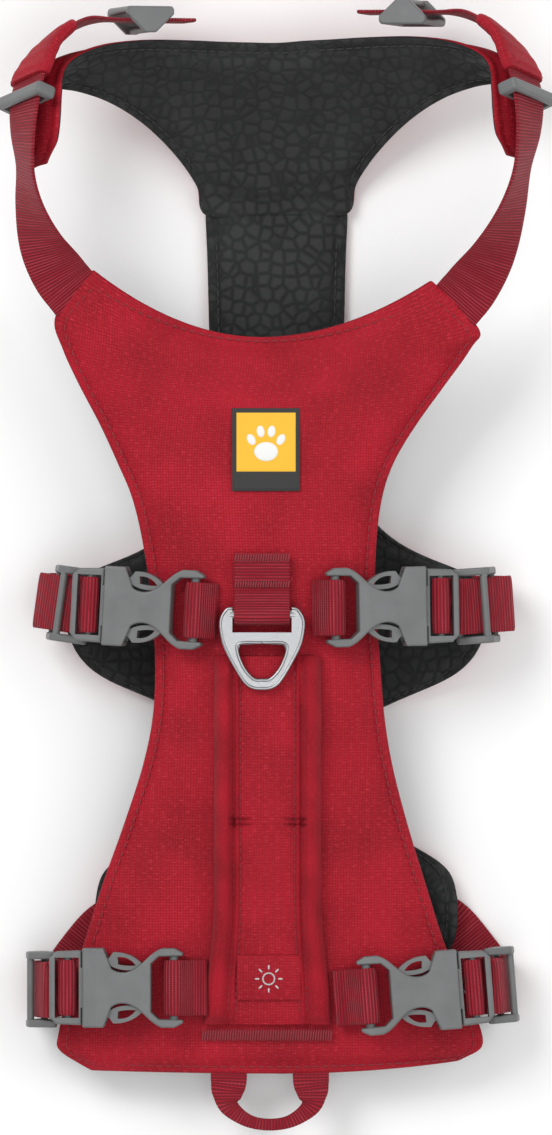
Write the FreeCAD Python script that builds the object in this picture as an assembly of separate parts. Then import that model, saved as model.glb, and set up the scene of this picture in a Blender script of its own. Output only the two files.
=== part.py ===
"""Padded dog harness with a lifting handle, laid on its belly as it is worn, in millimetres.

+Z is up, away from the dog's back, +Y points to the neck and +X to the dog's right as seen from above.
The back panel is on top. The chest yoke and the belly panel lie under it on the surface at z = 0, and the
space between them is where the dog goes. Webbing straps with side-release buckles join the two on each side.
Each soft layer is a curved sheet with a thickness; the buckles, sliders, guide rings and leash ring are
moulded or forged pieces. Every piece is a solid of its own and is written to parts/NAME.step.
"""

import FreeCAD
import Part

import math
import os

os.makedirs("parts", exist_ok=True)
V = FreeCAD.Vector

# ---- driving dimensions ----
WEB = 20.0  # webbing width
WEB_T = 1.5  # webbing thickness
FABRIC = 1.0  # face fabric and lining
BACK_FOAM = 4.5
CHEST_FOAM = 3.8
AIR = 0.2  # room left between a sewn-on piece and what it lies on
FIT = 0.4  # room round a bar inside a webbing loop

# ---- the back panel, one row of the pattern per line, neck to tail ----
# (left x, left y, right x, right y, middle y, middle z, edge z) of its upper face
BACK_ROWS = [
    (-63.6, 106.4, 56.4, 102.5, 82.9, 43.0, 50.0),
    (-77.1, 90.0, 73.6, 85.0, 75.7, 43.5, 49.5),
    (-74.6, 77.5, 70.7, 77.5, 69.3, 44.0, 47.5),
    (-69.3, 65.4, 61.4, 64.3, 60.7, 44.0, 45.0),
    (-61.8, 50.7, 51.4, 50.0, 49.3, 44.0, 42.5),
    (-55.7, 36.8, 43.9, 36.8, 36.4, 44.0, 40.5),
    (-50.7, 24.3, 40.0, 24.3, 24.3, 43.8, 39.0),
    (-47.1, 8.2, 38.2, 8.2, 8.2, 43.4, 37.5),
    (-44.3, -11.4, 37.9, -11.4, -11.4, 42.8, 36.5),
    (-42.9, -32.9, 39.6, -32.9, -32.9, 41.8, 35.5),
    (-43.6, -52.5, 41.1, -52.5, -52.5, 40.6, 34.5),
    (-47.1, -70.4, 43.9, -70.4, -70.4, 39.2, 33.0),
    (-53.9, -91.8, 49.3, -91.8, -91.8, 37.2, 31.0),
    (-61.4, -113.2, 55.7, -113.2, -113.2, 34.8, 28.8),
    (-67.5, -132.9, 61.8, -132.9, -132.9, 32.4, 26.6),
    (-73.2, -150.7, 68.9, -150.7, -150.7, 30.2, 24.6),
    (-77.1, -166.8, 75.4, -165.7, -166.3, 28.2, 22.8),
    (-76.8, -173.9, 75.4, -173.2, -174.5, 27.2, 22.0),
    (-65.4, -181.4, 67.5, -178.2, -181.8, 26.4, 21.5),
]
BACK_COLUMNS = 8

# ---- the belly panel: (y, half width, how far its edge is lifted by the strap), tail to neck ----
CHEST_X = 1.6  # its centre line
BELLY_ROWS = [
    (-142.0, 56.0, 5.0), (-138.0, 63.0, 6.0), (-130.0, 66.0, 7.0), (-118.0, 66.0, 7.0),
    (-108.0, 62.0, 5.0), (-100.0, 50.0, 2.0), (-90.0, 33.0, 0.0), (-74.0, 26.0, 0.0),
    (-58.0, 28.0, 0.0), (-49.0, 42.0, 1.5), (-42.0, 60.0, 7.0), (-34.0, 71.0, 11.0),
    (-22.0, 77.0, 13.0), (-10.0, 78.0, 13.0), (-3.0, 73.0, 11.0), (2.0, 62.0, 7.0),
    (9.0, 46.0, 3.0), (20.0, 33.0, 0.0), (40.0, 26.0, 0.0), (66.0, 24.0, 0.0),
    (92.0, 24.5, 0.0), (112.0, 25.0, 0.0), (125.6, 25.6, 0.0),
]
FLAT_HALF = 30.0  # the belly panel lies flat on the floor within this distance of its centre line
PRESSED = 0.15  # how much of its face fabric is pressed flat there

# ---- the chest yoke, tip to centre: (hole edge, neck edge) of its outer face, left side ----
YOKE = [
    ((-87.5, 142.0, 44.0), (-80.5, 142.0, 60.0)),
    ((-90.5, 150.0, 40.0), (-78.0, 150.0, 68.0)),
    ((-91.0, 160.0, 37.0), (-77.0, 160.0, 70.0)),
    ((-88.0, 169.0, 34.0), (-76.5, 170.0, 67.0)),
    ((-81.0, 174.0, 31.0), (-75.5, 178.5, 61.0)),
    ((-72.0, 173.0, 28.0), (-71.0, 184.5, 54.0)),
    ((-60.0, 168.0, 24.0), (-61.0, 189.0, 47.0)),
    ((-48.0, 160.0, 18.5), (-47.0, 191.0, 40.0)),
    ((-37.0, 149.5, 11.5), (-31.0, 191.0, 34.0)),
    ((-28.5, 138.0, 4.5), (-18.0, 190.5, 30.5)),
    ((-24.0, 127.2, 0.4), (-9.0, 190.2, 28.8)),
]
YOKE_CENTRE = ((1.6, 127.2, 0.4), (1.6, 190.0, 28.4))
YOKE_X = 1.6  # the yoke's own centre line
RIGHT_ARM_FORWARD = 3.0  # the right arm reaches further forward as the harness lies
YOKE_FLIP = -1  # the yoke's rows run so that its normals point in, and its layers go the other way
YOKE_SAG = 5.0  # how far the yoke bellies out between its two edges

# ---- buckles: (name, side, female end x, y, z, turn in plan, droop of the outer end, both in degrees) ----
BUCKLES = [
    ("front_left", -1, -24.5, -15.2, 46.8, -3.0, 11.0),
    ("front_right", 1, 19.3, -14.2, 46.6, 1.0, 10.0),
    ("rear_left", -1, -31.8, -150.2, 36.4, 0.0, 4.0),
    ("rear_right", 1, 31.0, -153.4, 36.2, 4.5, 4.0),
]
ANCHOR_RUNS = {"front": (6.0, 8.0), "rear": (7.0, 12.0)}  # where the socket's webbing lies on the panel
FEMALE_L = 36.0
BUCKLE_L = 48.0
BUCKLE_HALF = 14.2  # half the width of the mouth
CAVITY = (12.8, 2.7)  # half width and half height inside the mouth
FEMALE_BAR = (3.4, 1.6)  # distance from the end, and radius
MALE_BAR = (41.6, 1.3)
ARM_PIVOT = (34.6, 9.2)
ARM_KNUCKLE = 1.2
ARM_HALF_T = 2.4

# ---- strap sliders: (x, y, z of the middle, turn in plan, droop of the outer end) ----
GIRTH_SLIDERS = {
    "front_left": (-73.8, -12.9, 27.7, -8.0, 38.0),
    "front_right": (74.6, -13.4, 28.6, 4.0, 31.0),
    "rear_left": (-83.4, -151.2, 19.2, 0.0, 76.0),
    "rear_right": (82.9, -149.6, 19.2, 4.5, 76.0),
}
# where each girth loop enters its slider, its bends round the slider's end bar in degrees, and how far below
# the plug's bar it turns
LOOP_ROUTE = {
    "front_left": (-4.0, (0,), 4.4),
    "front_right": (-7.4, (0,), 4.4),
    "rear_left": (-7.4, (0, 30, 60), 3.6),
    "rear_right": (-7.4, (0, 30, 60), 3.6),
}
SLIDER_HALF_L = 7.4
SLIDER_HALF_W = 13.6
SLIDER_BAR = 1.3
CHANNEL = 2.1  # half the height left for two layers of webbing
RAIL_T = 2.8

# where the lower strap runs under the belly panel: (distance from the centre line, distance forward of the
# slider, height) of each of its points
RUN_POINTS = {
    "front": [(80.0, 0.0, 10.6), (72.0, 0.0, 8.4), (64.0, 0.0, 5.3), (57.0, 0.0, 2.9)],
    "rear": [(76.0, 3.0, 2.8), (70.0, 11.0, 2.6), (63.0, 19.5, 2.4), (57.0, 24.0, 1.4)],
}

# ---- the neck strap, shoulder to slider, left side: (middle point, direction across it) ----
NECK_STRAP = [
    ((-71.6, 99.2, 47.2), (0.63, 0.78, 0.00)),
    ((-76.0, 105.0, 50.5), (0.66, 0.68, 0.30)),
    ((-82.0, 116.0, 56.5), (0.62, 0.40, 0.68)),
    ((-86.0, 129.0, 61.5), (0.45, 0.12, 0.88)),
    ((-87.8, 142.0, 65.0), (0.30, 0.00, 0.95)),
    ((-88.6, 154.0, 66.5), (0.42, 0.00, 0.90)),
    ((-88.0, 165.0, 65.5), (0.50, 0.00, 0.86)),
    ((-85.6, 176.0, 61.0), (0.50, 0.10, 0.86)),
    ((-80.0, 186.4, 54.0), (0.40, 0.25, 0.88)),
    ((-70.5, 193.2, 46.0), (0.25, 0.20, 0.95)),
    ((-61.0, 195.8, 40.0), (0.20, 0.00, 0.98)),
    ((-51.0, 196.0, 36.5), (0.20, 0.00, 0.98)),
    ((-41.0, 196.0, 33.5), (0.20, 0.00, 0.98)),
    ((-30.0, 196.0, 30.2), (0.20, 0.00, 0.98)),
]
RIGHT_SHOULDER_SHIFT = V(-8.5, -4.6, -0.6)  # the right shoulder sits further in and back
NECK_SLIDER_AT = 11.4  # its place along the neck strap, in stations
RING_AT = 6.2  # the guide ring's place along the neck strap, in stations
KEEPER_SPAN = (6.75, 8.6)

# ---- pieces on the back panel ----
RING_AXIS = (-3.6, -16.6)  # x and y of the leash ring's bar
RING_BAR = 1.8
RING_HALF_T = 1.6
HANDLE_HALF = 18.5
HANDLE_Y = (-136.0, -47.0)
LABEL = (-14.3, 10.0, 27.5, 57.1)
REAR_LOOP_Y = -184.2


# ---------------------------------------------------------------- helpers
def save(name, *solids):
    """Writes the solids of one named piece."""
    for number, solid in enumerate(solids):
        if not solid.isValid() or solid.Volume <= 0:
            print("CHECK", name, number, "valid", solid.isValid(), "volume", solid.Volume)
    shape = solids[0] if len(solids) == 1 else Part.makeCompound(list(solids))
    shape.exportStep(f"parts/{name}.step")


def mix(a, b, t):
    """The point a share t of the way from a to b."""
    return a + (b - a) * t


def unit(v):
    return v * (1.0 / v.Length)


def knots_for(count, degree):
    """Clamped, evenly spaced knots and their multiplicities."""
    spans = count - degree
    return [float(i) for i in range(spans + 1)], [degree + 1] + [1] * (spans - 1) + [degree + 1]


def surface(rows, down=3, across=3):
    """A smooth surface whose control points are the rows."""
    down, across = min(down, len(rows) - 1), min(across, len(rows[0]) - 1)
    uk, um = knots_for(len(rows), down)
    vk, vm = knots_for(len(rows[0]), across)
    made = Part.BSplineSurface()
    made.buildFromPolesMultsKnots(rows, um, vm, uk, vk, False, False, down, across)
    return made


def normals(rows, flip=1):
    """The unit normal at each point of a grid, from its neighbours along and across."""
    out = []
    last, wide = len(rows) - 1, len(rows[0]) - 1
    for i, row in enumerate(rows):
        line = []
        for j in range(len(row)):
            along = rows[min(i + 1, last)][j] - rows[max(i - 1, 0)][j]
            across = row[min(j + 1, wide)] - row[max(j - 1, 0)]
            line.append(unit(across.cross(along)) * flip)
        out.append(line)
    return out


def offset(rows, ways, distance):
    return [[p + n * distance for p, n in zip(row, way)] for row, way in zip(rows, ways)]


def sheet(rows, low, high, flip=1, down=3, across=3):
    """A solid between two offsets of a grid: two faces and the four narrow edges round them."""
    ways = normals(rows, flip)
    under, over = offset(rows, ways, low), offset(rows, ways, high)
    faces = [surface(under, down, across).toShape(), surface(over, down, across).toShape()]
    for edge in (0, -1):
        faces.append(surface([under[edge], over[edge]], 1, across).toShape())
        pair = [[row[edge] for row in under], [row[edge] for row in over]]
        faces.append(surface(pair, 1, down).toShape())
    shell = Part.makeShell(faces)
    shell.sewShape()
    solid = Part.makeSolid(shell)
    if solid.Volume < 0:
        solid.reverse()
    return solid


def ribbon(stations, width, low, high, flip=1, down=3):
    """Webbing: stations are (middle point, direction across it)."""
    rows = [[p - unit(w) * (width / 2), p + unit(w) * (width / 2)] for p, w in stations]
    return sheet(rows, low, high, flip, down, 1)


def round_all(shape, radius):
    """The shape with all its edges rounded, or as it is where that fails."""
    try:
        rounded = shape.makeFillet(radius, shape.Edges)
        if rounded.isValid() and rounded.Volume > 0:
            return rounded
    except Exception:
        print("left sharp: fillet", radius)
    return shape


def outline_face(points, curved=()):
    """A flat face inside a closed outline. Stretches of point numbers in curved are smooth curves."""
    edges, i, count = [], 0, len(points)
    spans = dict(curved)
    while i < count:
        end = spans.get(i, i + 1)
        run = [V(*points[k % count], 0) for k in range(i, end + 1)]
        if len(run) > 2:
            curve = Part.BSplineCurve()
            curve.interpolate(run)
            edges.append(curve.toShape())
        else:
            edges.append(Part.LineSegment(run[0], run[1]).toShape())
        i = end
    return Part.Face(Part.Wire(edges))


def plate(face, half):
    """A flat face made into a plate from -half to half in z."""
    face = face.copy()
    face.translate(V(0, 0, -half))
    return face.extrude(V(0, 0, 2 * half))


def box(x0, x1, y0, y1, z0, z1):
    return Part.makeBox(x1 - x0, y1 - y0, z1 - z0, V(x0, y0, z0))


def rod(a, b, radius):
    return Part.makeCylinder(radius, (b - a).Length, a, b - a)


def smooth(t):
    return t * t * (3 - 2 * t)


def layers(name, rows, thicknesses, flip=1, start=0.0):
    """A sewn panel: solids stacked outwards from start, one for each (layer name, thickness)."""
    low = start
    for layer, thickness in thicknesses:
        save(f"{name}_{layer}", sheet(rows, low, low + thickness, flip))
        low += thickness


# ---------------------------------------------------------------- panels
def back_rows():
    """Points of the back panel's upper face: each row is a shallow arch, its neck end a saddle."""
    rows = []
    for lx, ly, rx, ry, my, mz, ez in BACK_ROWS:
        row = []
        for k in range(BACK_COLUMNS + 1):
            t = k / BACK_COLUMNS
            side = abs(2 * t - 1)
            x = mix(lx, rx, t)
            y = my + ((ly if t < 0.5 else ry) - my) * side ** 2
            row.append(V(x, y, mz + (ez - mz) * side ** 2))
        rows.append(row)
    return rows


BACK = back_rows()
BACK_TOP = surface(BACK).toShape()


def back_height(x, y):
    """The height of the back panel's upper face above a point."""
    line = Part.makeLine(V(x, y, 0), V(x, y, 90))
    return BACK_TOP.distToShape(line)[1][0][0].z


def laid(x0, x1, y0, y1, low, high, across=3, down=3):
    """A flat rectangle laid on the back panel, between two heights above it."""
    rows = []
    for i in range(down + 1):
        y = mix(y1, y0, i / down)
        row = []
        for j in range(across + 1):
            x = mix(x0, x1, j / across)
            row.append(V(x, y, back_height(x, y)))
        rows.append(row)
    return sheet(rows, low, high, -1)


def make_back_panel():
    stack = [("lining", FABRIC), ("foam", BACK_FOAM), ("face", FABRIC)]
    layers("back", BACK, stack, -1, -(2 * FABRIC + BACK_FOAM))


def belly_rows():
    """Points of the belly panel's lower face: flat on the surface, its wings curling up."""
    rows = []
    for y, half, lift in BELLY_ROWS:
        row = []
        for k in range(-6, 7):
            x = half * k / 6
            past = max(0.0, abs(x) - FLAT_HALF) / max(half - FLAT_HALF, 1.0)
            row.append(V(CHEST_X + x, y, lift * past ** 2))
        rows.append(row)
    return rows


BELLY = belly_rows()


def make_belly_panel():
    """The belly panel's layers. Its face fabric is pressed to a plane where it lies on the surface."""
    floor = box(-100, 110, -160, 140, -5, 0)
    save("belly_face", *sheet(BELLY, -PRESSED, FABRIC).cut(floor).Solids)
    layers("belly", BELLY, [("foam", CHEST_FOAM), ("lining", FABRIC)], start=FABRIC)


def mirrored(p, forward=1.0):
    return V(2 * YOKE_X - p[0], p[1] + RIGHT_ARM_FORWARD * forward, p[2])


def yoke_rows():
    """Points of the yoke's outer face, left tip to right tip. Between its two edges the face bellies out."""
    pairs = [(V(*a), V(*b)) for a, b in YOKE]
    pairs.append((V(*YOKE_CENTRE[0]), V(*YOKE_CENTRE[1])))
    for k in range(len(YOKE) - 1, -1, -1):
        forward = 1 - k / (len(YOKE) - 1) * 0.8
        pairs.append((mirrored(YOKE[k][0], forward), mirrored(YOKE[k][1], forward)))
    rows = []
    for i, (hole, front) in enumerate(pairs):
        along = unit(pairs[min(i + 1, len(pairs) - 1)][1] - pairs[max(i - 1, 0)][1])
        out = unit(along.cross(front - hole)) * -1
        row = []
        for k in range(5):
            t = k / 4
            row.append(mix(hole, front, t) + out * (YOKE_SAG * 4 * t * (1 - t)))
        rows.append(row)
    return rows


YOKE_OUTER = yoke_rows()


def make_yoke():
    layers("yoke", YOKE_OUTER, [("face", FABRIC), ("foam", CHEST_FOAM), ("lining", FABRIC)], YOKE_FLIP)


# ---------------------------------------------------------------- buckles
def both_sides(half):
    """A closed outline from its upper half, whose points run from one end of the x axis to the other."""
    return half + [(x, -y) for x, y in reversed(half)]


def strap_place(x, y, z, turn, droop, side):
    """A placement on a side strap: x outward along it, y across it and z off its outer face."""
    yaw = turn if side > 0 else 180 + turn
    return FreeCAD.Placement(V(x, y, z), FreeCAD.Rotation(yaw, droop, 0))


def buckle_place(number):
    name, side, *place = BUCKLES[number]
    return strap_place(*place, side)


def placed(shape, place):
    shape = shape.copy()
    shape.Placement = place
    return shape


def female_body():
    """The socket: a wide mouth band, a narrow waist that bares the prongs, two hooks and the webbing bar."""
    half = [
        (FEMALE_L, BUCKLE_HALF), (28.4, BUCKLE_HALF), (25.6, 7.0), (22.0, 5.6), (18.0, 6.4), (14.0, 9.4),
        (10.5, 12.6), (7.5, BUCKLE_HALF), (3.0, BUCKLE_HALF), (0.0, 12.6), (0.0, 11.4), (8.6, 11.2),
        (11.4, 8.6),
    ]
    outline = both_sides(half)
    last = len(outline) - 1
    body = plate(outline_face(outline, [(2, 7), (last - 7, last - 2)]), 4.2)
    crown = [(-1, 2.6), (8, 3.0), (15, 4.2), (31, 4.2), (FEMALE_L, 3.9)]
    side = outline_face(both_sides(crown))
    side.rotate(V(0, 0, 0), V(1, 0, 0), 90)
    side.translate(V(0, 20, 0))
    body = body.common(side.extrude(V(0, -40, 0)))
    body = round_all(body, 0.7)
    wide, high = CAVITY
    body = body.cut(box(13.0, FEMALE_L + 1, -wide, wide, -high, high))
    x, radius = FEMALE_BAR
    return body.fuse(rod(V(x, -11.8, 0), V(x, 11.8, 0), radius)).removeSplitter()


def male_base():
    """The plug's frame: the plate and tongue inside the mouth, and the open end with the webbing bar."""
    start = FEMALE_L + 0.3
    outer = [(start, 13.4), (BUCKLE_L - 2.5, 13.0), (BUCKLE_L, 10.5)]
    frame = plate(outline_face(both_sides(outer), []), 2.3)
    frame = round_all(frame, 0.8)
    frame = frame.cut(box(start + 1.0, BUCKLE_L - 2.0, -10.8, 10.8, -5, 5))
    plug = box(31.4, start + 0.6, -7.2, 7.2, -2.3, 2.3)
    tongue = round_all(box(16.0, 32.0, -2.2, 2.2, -2.3, 2.3), 0.5)
    x, radius = MALE_BAR
    bar = rod(V(x, -11.5, 0), V(x, 11.5, 0), radius)
    return frame.fuse([plug, tongue, bar]).removeSplitter()


def prong():
    """One spring prong on the +y side: a thin arm with a pierced leaf that bulges out behind the mouth."""
    x, y = ARM_PIVOT
    points = [
        (x, y + 1.2), (29.0, 10.5), (26.4, 10.7), (25.0, 12.7), (20.5, 12.2), (16.4, 10.2), (13.6, 7.4),
        (14.4, 6.6), (18.0, 6.3), (22.5, 6.6), (26.0, 8.0), (29.0, 8.3), (x, y - 1.2),
    ]
    body = plate(outline_face(points, [(3, 6), (7, 10)]), ARM_HALF_T)
    hole = outline_face([(16.8, 8.0), (19.5, 7.9), (23.2, 8.4), (23.4, 11.0), (20.0, 10.6)], [(0, 2), (3, 5)])
    knuckle = rod(V(x, y, -ARM_HALF_T), V(x, y, ARM_HALF_T), ARM_KNUCKLE)
    return body.cut(plate(hole, 5)).fuse(knuckle).removeSplitter()


def anchor(number):
    """The short webbing loop that holds the socket's bar, sewn down on the back panel."""
    place = buckle_place(number)
    inward = place.Rotation.multVec(V(-1, 0, 0))
    across = place.Rotation.multVec(V(0, 1, 0))
    x, radius = FEMALE_BAR
    reach = radius + FIT + WEB_T / 2 + 0.15
    turn = [(x - 1.6, -reach)]
    for k in range(9):
        a = math.radians(-90 + 180 * k / 8)
        turn.append((x + reach * math.cos(a), reach * math.sin(a)))
    turn.append((x - 1.6, reach))
    stations = [(place.multVec(V(u, 0, w)), across) for u, w in turn]
    flat = V(inward.x, inward.y, 0)
    low, high = [], []
    for run in ANCHOR_RUNS[BUCKLES[number][0].split("_")[0]]:
        p = place.multVec(V(x, 0, 0)) + unit(flat) * run
        floor = max(back_height(p.x, p.y + d) for d in (-9, 0, 9)) + AIR
        low.append((V(p.x, p.y, floor + WEB_T / 2 + 0.1), across))
        high.append((V(p.x, p.y, floor + WEB_T * 1.5 + 0.3), across))
    return ribbon(list(reversed(low)) + stations + high, WEB, -WEB_T / 2, WEB_T / 2)


def slider():
    """A webbing slider: two side rails, an end bar under the webbing at each end and a middle bar over it."""
    r, end, wide = SLIDER_BAR, SLIDER_HALF_L, SLIDER_HALF_W
    drop = CHANNEL + r
    half = [(-end - r, -drop - 0.2), (-end - r, -drop + 1.6), (-2.0, drop + r), (2.0, drop + r),
            (end + r, -drop + 1.6), (end + r, -drop - 0.2), (end, -drop - r), (-end, -drop - r)]
    rail = outline_face(half, [])
    rail.rotate(V(0, 0, 0), V(1, 0, 0), 90)
    pieces = []
    for y in (-wide + RAIL_T, wide):
        side = rail.copy()
        side.translate(V(0, y, 0))
        pieces.append(round_all(side.extrude(V(0, -RAIL_T, 0)), 0.8))
    for x, z in ((-end, -drop), (0, drop), (end, -drop)):
        pieces.append(rod(V(x, -wide + 1, z), V(x, wide - 1, z), r))
    return pieces[0].fuse(pieces[1:]).removeSplitter()


def girth_loop(number):
    """Webbing from the slider up round the plug's bar and back, doubled, to the turn below the slider.

    Its two layers leave the slider one over the other, bend together round the slider's end bar, and part at
    the plug's outer edge to go round the plug's bar.
    """
    name, side = BUCKLES[number][:2]
    mouth, bends, depth = LOOP_ROUTE[name]
    plug = buckle_place(number)
    slide = strap_place(*GIRTH_SLIDERS[name], side)
    across = slide.Rotation.multVec(V(0, 1, 0))
    bar_across = plug.Rotation.multVec(V(0, 1, 0))
    layer = WEB_T / 2 + 0.1
    drop = CHANNEL + SLIDER_BAR

    def beside_end_bar(height, bend):
        radius = drop + height
        a = math.radians(bend)
        return slide.multVec(V(mouth - radius * math.sin(a), 0, radius * math.cos(a) - drop))

    x, radius = MALE_BAR
    reach = radius + FIT + WEB_T / 2 + 0.15
    outer = V(x + reach + 0.4, 0, -depth)
    run = plug.inverse().multVec(beside_end_bar(layer, bends[-1])) - outer
    run = unit(V(run.x, 0, run.z))
    inner = outer + V(run.z, 0, -run.x) * (WEB_T + 0.3)
    away = math.hypot(inner.x - x, inner.z)
    start = 360 + math.degrees(math.atan2(inner.z, inner.x - x) - math.acos(reach / away))

    stations = [(slide.multVec(V(s, 0, -layer)), across) for s in (9.5, 5.0, 0.0)]
    stations += [(beside_end_bar(-layer, bend), across) for bend in bends]
    stations.append((plug.multVec(inner), bar_across))
    for k in range(9):
        a = math.radians(start * (1 - k / 8))
        stations.append((plug.multVec(V(x + reach * math.cos(a), 0, reach * math.sin(a))), bar_across))
    stations.append((plug.multVec(V(x + reach, 0, -1.5)), bar_across))
    stations.append((plug.multVec(outer), bar_across))
    stations += [(beside_end_bar(layer, bend), across) for bend in reversed(bends)]
    ends = [(2.0, layer), (6.0, layer), (10.5, layer), (13.0, 0.2), (14.2, -2.0), (14.6, -4.0)]
    stations += [(slide.multVec(V(s, 0, h)), across) for s, h in ends]
    return ribbon(stations, WEB, -WEB_T / 2, WEB_T / 2)


def girth_run(number):
    """Webbing from the turn below the slider, in under the belly panel's wing."""
    name, side = BUCKLES[number][:2]
    slide = strap_place(*GIRTH_SLIDERS[name], side)
    across = slide.Rotation.multVec(V(0, 1, 0))
    start = slide.multVec(V(14.6, 0, -5.0))
    stations = [(start, across), (slide.multVec(V(14.6, 0, -7.1)), across)]
    points = []
    for reach, forward, height in RUN_POINTS[name.split("_")[0]]:
        points.append(V(CHEST_X + side * reach, start.y + forward, height))
    for k, point in enumerate(points):
        along = points[min(k + 1, len(points) - 1)] - points[max(k - 1, 0)]
        stations.append((point, V(along.y, -along.x, 0)))
    return ribbon(stations, WEB, -WEB_T / 2, WEB_T / 2)


def make_buckles():
    for number, (name, side, *_) in enumerate(BUCKLES):
        place = buckle_place(number)
        save(f"buckle_socket_{name}", placed(FEMALE, place))
        save(f"buckle_plug_{name}", placed(MALE, place))
        other = PRONG.mirror(V(0, 0, 0), V(0, 1, 0))
        save(f"prong_{name}_a", placed(PRONG, place))
        flipped = other.copy()
        flipped.Placement = place.multiply(other.Placement)
        save(f"prong_{name}_b", flipped)
        save(f"anchor_{name}", anchor(number))
        save(f"girth_slider_{name}", placed(SLIDER, strap_place(*GIRTH_SLIDERS[name], side)))
        save(f"girth_loop_{name}", girth_loop(number))
        save(f"girth_run_{name}", girth_run(number))


# ---------------------------------------------------------------- neck straps
def neck_stations(side):
    """The strap's stations on one side. The right one is mirrored and its shoulder end is shifted."""
    out = []
    for k, (point, across) in enumerate(NECK_STRAP):
        p, w = V(*point), V(*across)
        if side > 0:
            p = mirrored(p, smooth(k / (len(NECK_STRAP) - 1)))
            w = V(-w.x, w.y, w.z)
            p = p + RIGHT_SHOULDER_SHIFT * smooth(max(0.0, 1 - k / 6))
        out.append((p, w))
    return out


def strap_frame(stations, at):
    """A placement on the strap: x along it, y across it and z out of its outer side."""
    k = int(at)
    t = at - k
    p = mix(stations[k][0], stations[k + 1][0], t)
    along = unit(stations[k + 1][0] - stations[k][0])
    across = unit(mix(stations[k][1], stations[k + 1][1], t))
    out = unit(along.cross(across))
    return FreeCAD.Placement(p, FreeCAD.Rotation(along, across, out, "XZY"))


def guide_ring():
    """A moulded belt-loop ring: a rounded slot for the webbing, taller at the back."""
    outer = round_all(box(-2.4, 2.4, -13.8, 13.8, -4.0, 4.0), 1.4)
    return outer.cut(box(-3.5, 3.5, -11.0, 11.0, -1.9, 1.9))


def keeper(stations):
    """The fabric sleeve round the doubled strap beyond the guide ring."""
    first, last = KEEPER_SPAN
    rows_in, rows_out = [], []
    for rows, wide, high in ((rows_in, 11.0, 1.7), (rows_out, 12.2, 2.9)):
        for k in range(6):
            place = strap_frame(stations, mix(first, last, k / 5))
            ring = [(-wide, -high), (wide, -high), (wide, high), (-wide, high), (-wide, -high)]
            rows.append(Part.makePolygon([place.multVec(V(0, y, z)) for y, z in ring]))
    outer = Part.makeLoft(rows_out, True, False)
    return outer.cut(Part.makeLoft(rows_in, True, False))


def make_neck_straps():
    for name, side in (("left", -1), ("right", 1)):
        stations = neck_stations(side)
        save(f"neck_strap_{name}", ribbon(stations, WEB, -WEB_T / 2, WEB_T / 2))
        save(f"guide_ring_{name}", placed(guide_ring(), strap_frame(stations, RING_AT)))
        save(f"keeper_{name}", keeper(stations))
        save(f"neck_slider_{name}", placed(SLIDER, strap_frame(stations, NECK_SLIDER_AT)))


# ---------------------------------------------------------------- pieces on the back panel
def leash_ring():
    """The back leash ring: a round bar in the webbing loop, two shoulders, a cross band and a pierced V."""
    half = [(10.5, 2.4), (13.0, 2.0), (15.2, -1.5), (15.3, -5.5), (14.0, -11.0), (10.6, -18.0), (6.6, -24.4),
            (3.6, -26.6), (0.0, -27.0)]
    outline = half + [(-x, y) for x, y in reversed(half[:-1])]
    last = len(outline) - 1
    body = plate(outline_face(outline, [(0, last)]), RING_HALF_T)
    hole = [(0.0, -10.6), (7.6, -10.9), (8.3, -13.0), (6.2, -18.6), (2.8, -22.4), (0.0, -22.8)]
    hole = hole + [(-x, y) for x, y in reversed(hole[1:-1])]
    body = body.cut(plate(outline_face(hole, [(1, 9)]), 5))
    body = round_all(body, 0.6)
    body = body.cut(box(-10.6, 10.6, -6.4, 4.0, -5, 5))
    body = body.fuse(rod(V(-11.5, 0, 0), V(11.5, 0, 0), RING_BAR)).removeSplitter()
    return placed(body, FreeCAD.Placement(V(*RING_AXIS, RING_Z), FreeCAD.Rotation()))


def ring_loop():
    """The webbing that holds the leash ring: round its bar and forward, both ends sewn down."""
    x, y = RING_AXIS
    reach = RING_BAR + FIT + WEB_T / 2 + 0.15
    across = V(1, 0, 0)
    stations = []
    for k in range(9):
        a = math.radians(-90 - 180 * k / 8)
        stations.append((V(x, y + reach * math.cos(a), RING_Z + reach * math.sin(a)), across))
    low, high = [], []
    for run in (7.0, 13.0, 21.0):
        floor = back_height(x, y + run) + 0.6
        low.append((V(x, y + run, floor + WEB_T / 2), across))
        high.append((V(x, y + run, floor + WEB_T * 1.5 + 0.2), across))
    return ribbon(list(reversed(low)) + stations + high, WEB, -WEB_T / 2, WEB_T / 2)


def bar_tacks():
    """Blocks of close zigzag stitching: two across the ring's webbing, one below the handle."""
    top = 2 * WEB_T + 1.7
    x = RING_AXIS[0]
    return [
        laid(x - 10.3, x + 10.3, 2.2, 5.2, top, top + 0.6),
        laid(x - 10.3, x + 10.3, -7.0, -4.6, top, top + 0.6),
        laid(-22.0, 22.0, -169.0, -166.0, AIR, AIR + 0.6),
    ]


def make_back_pieces():
    left, right, low, high = LABEL
    save("label", laid(left, right, low, high, AIR, AIR + 1.0))
    save("ring_webbing", ring_loop())
    save("leash_ring", leash_ring())
    save("bar_tacks", *bar_tacks())
    rear, front = HANDLE_Y
    wide = HANDLE_HALF
    save("handle_front_end", laid(-wide, wide, front + 0.6, front + 13.0, AIR, AIR + 1.2, 4, 3))
    save("handle_grip", laid(-wide, wide, rear, front, 0.6, 6.0, 4, 8))
    save("handle_rear_end", laid(-wide - 1.5, wide + 1.5, rear - 27.0, rear - 0.6, AIR, AIR + 3.0, 4, 3))
    save("light_tab", laid(-12.5, 10.2, rear - 18.6, rear - 3.0, AIR + 3.2, AIR + 4.6))


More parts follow.
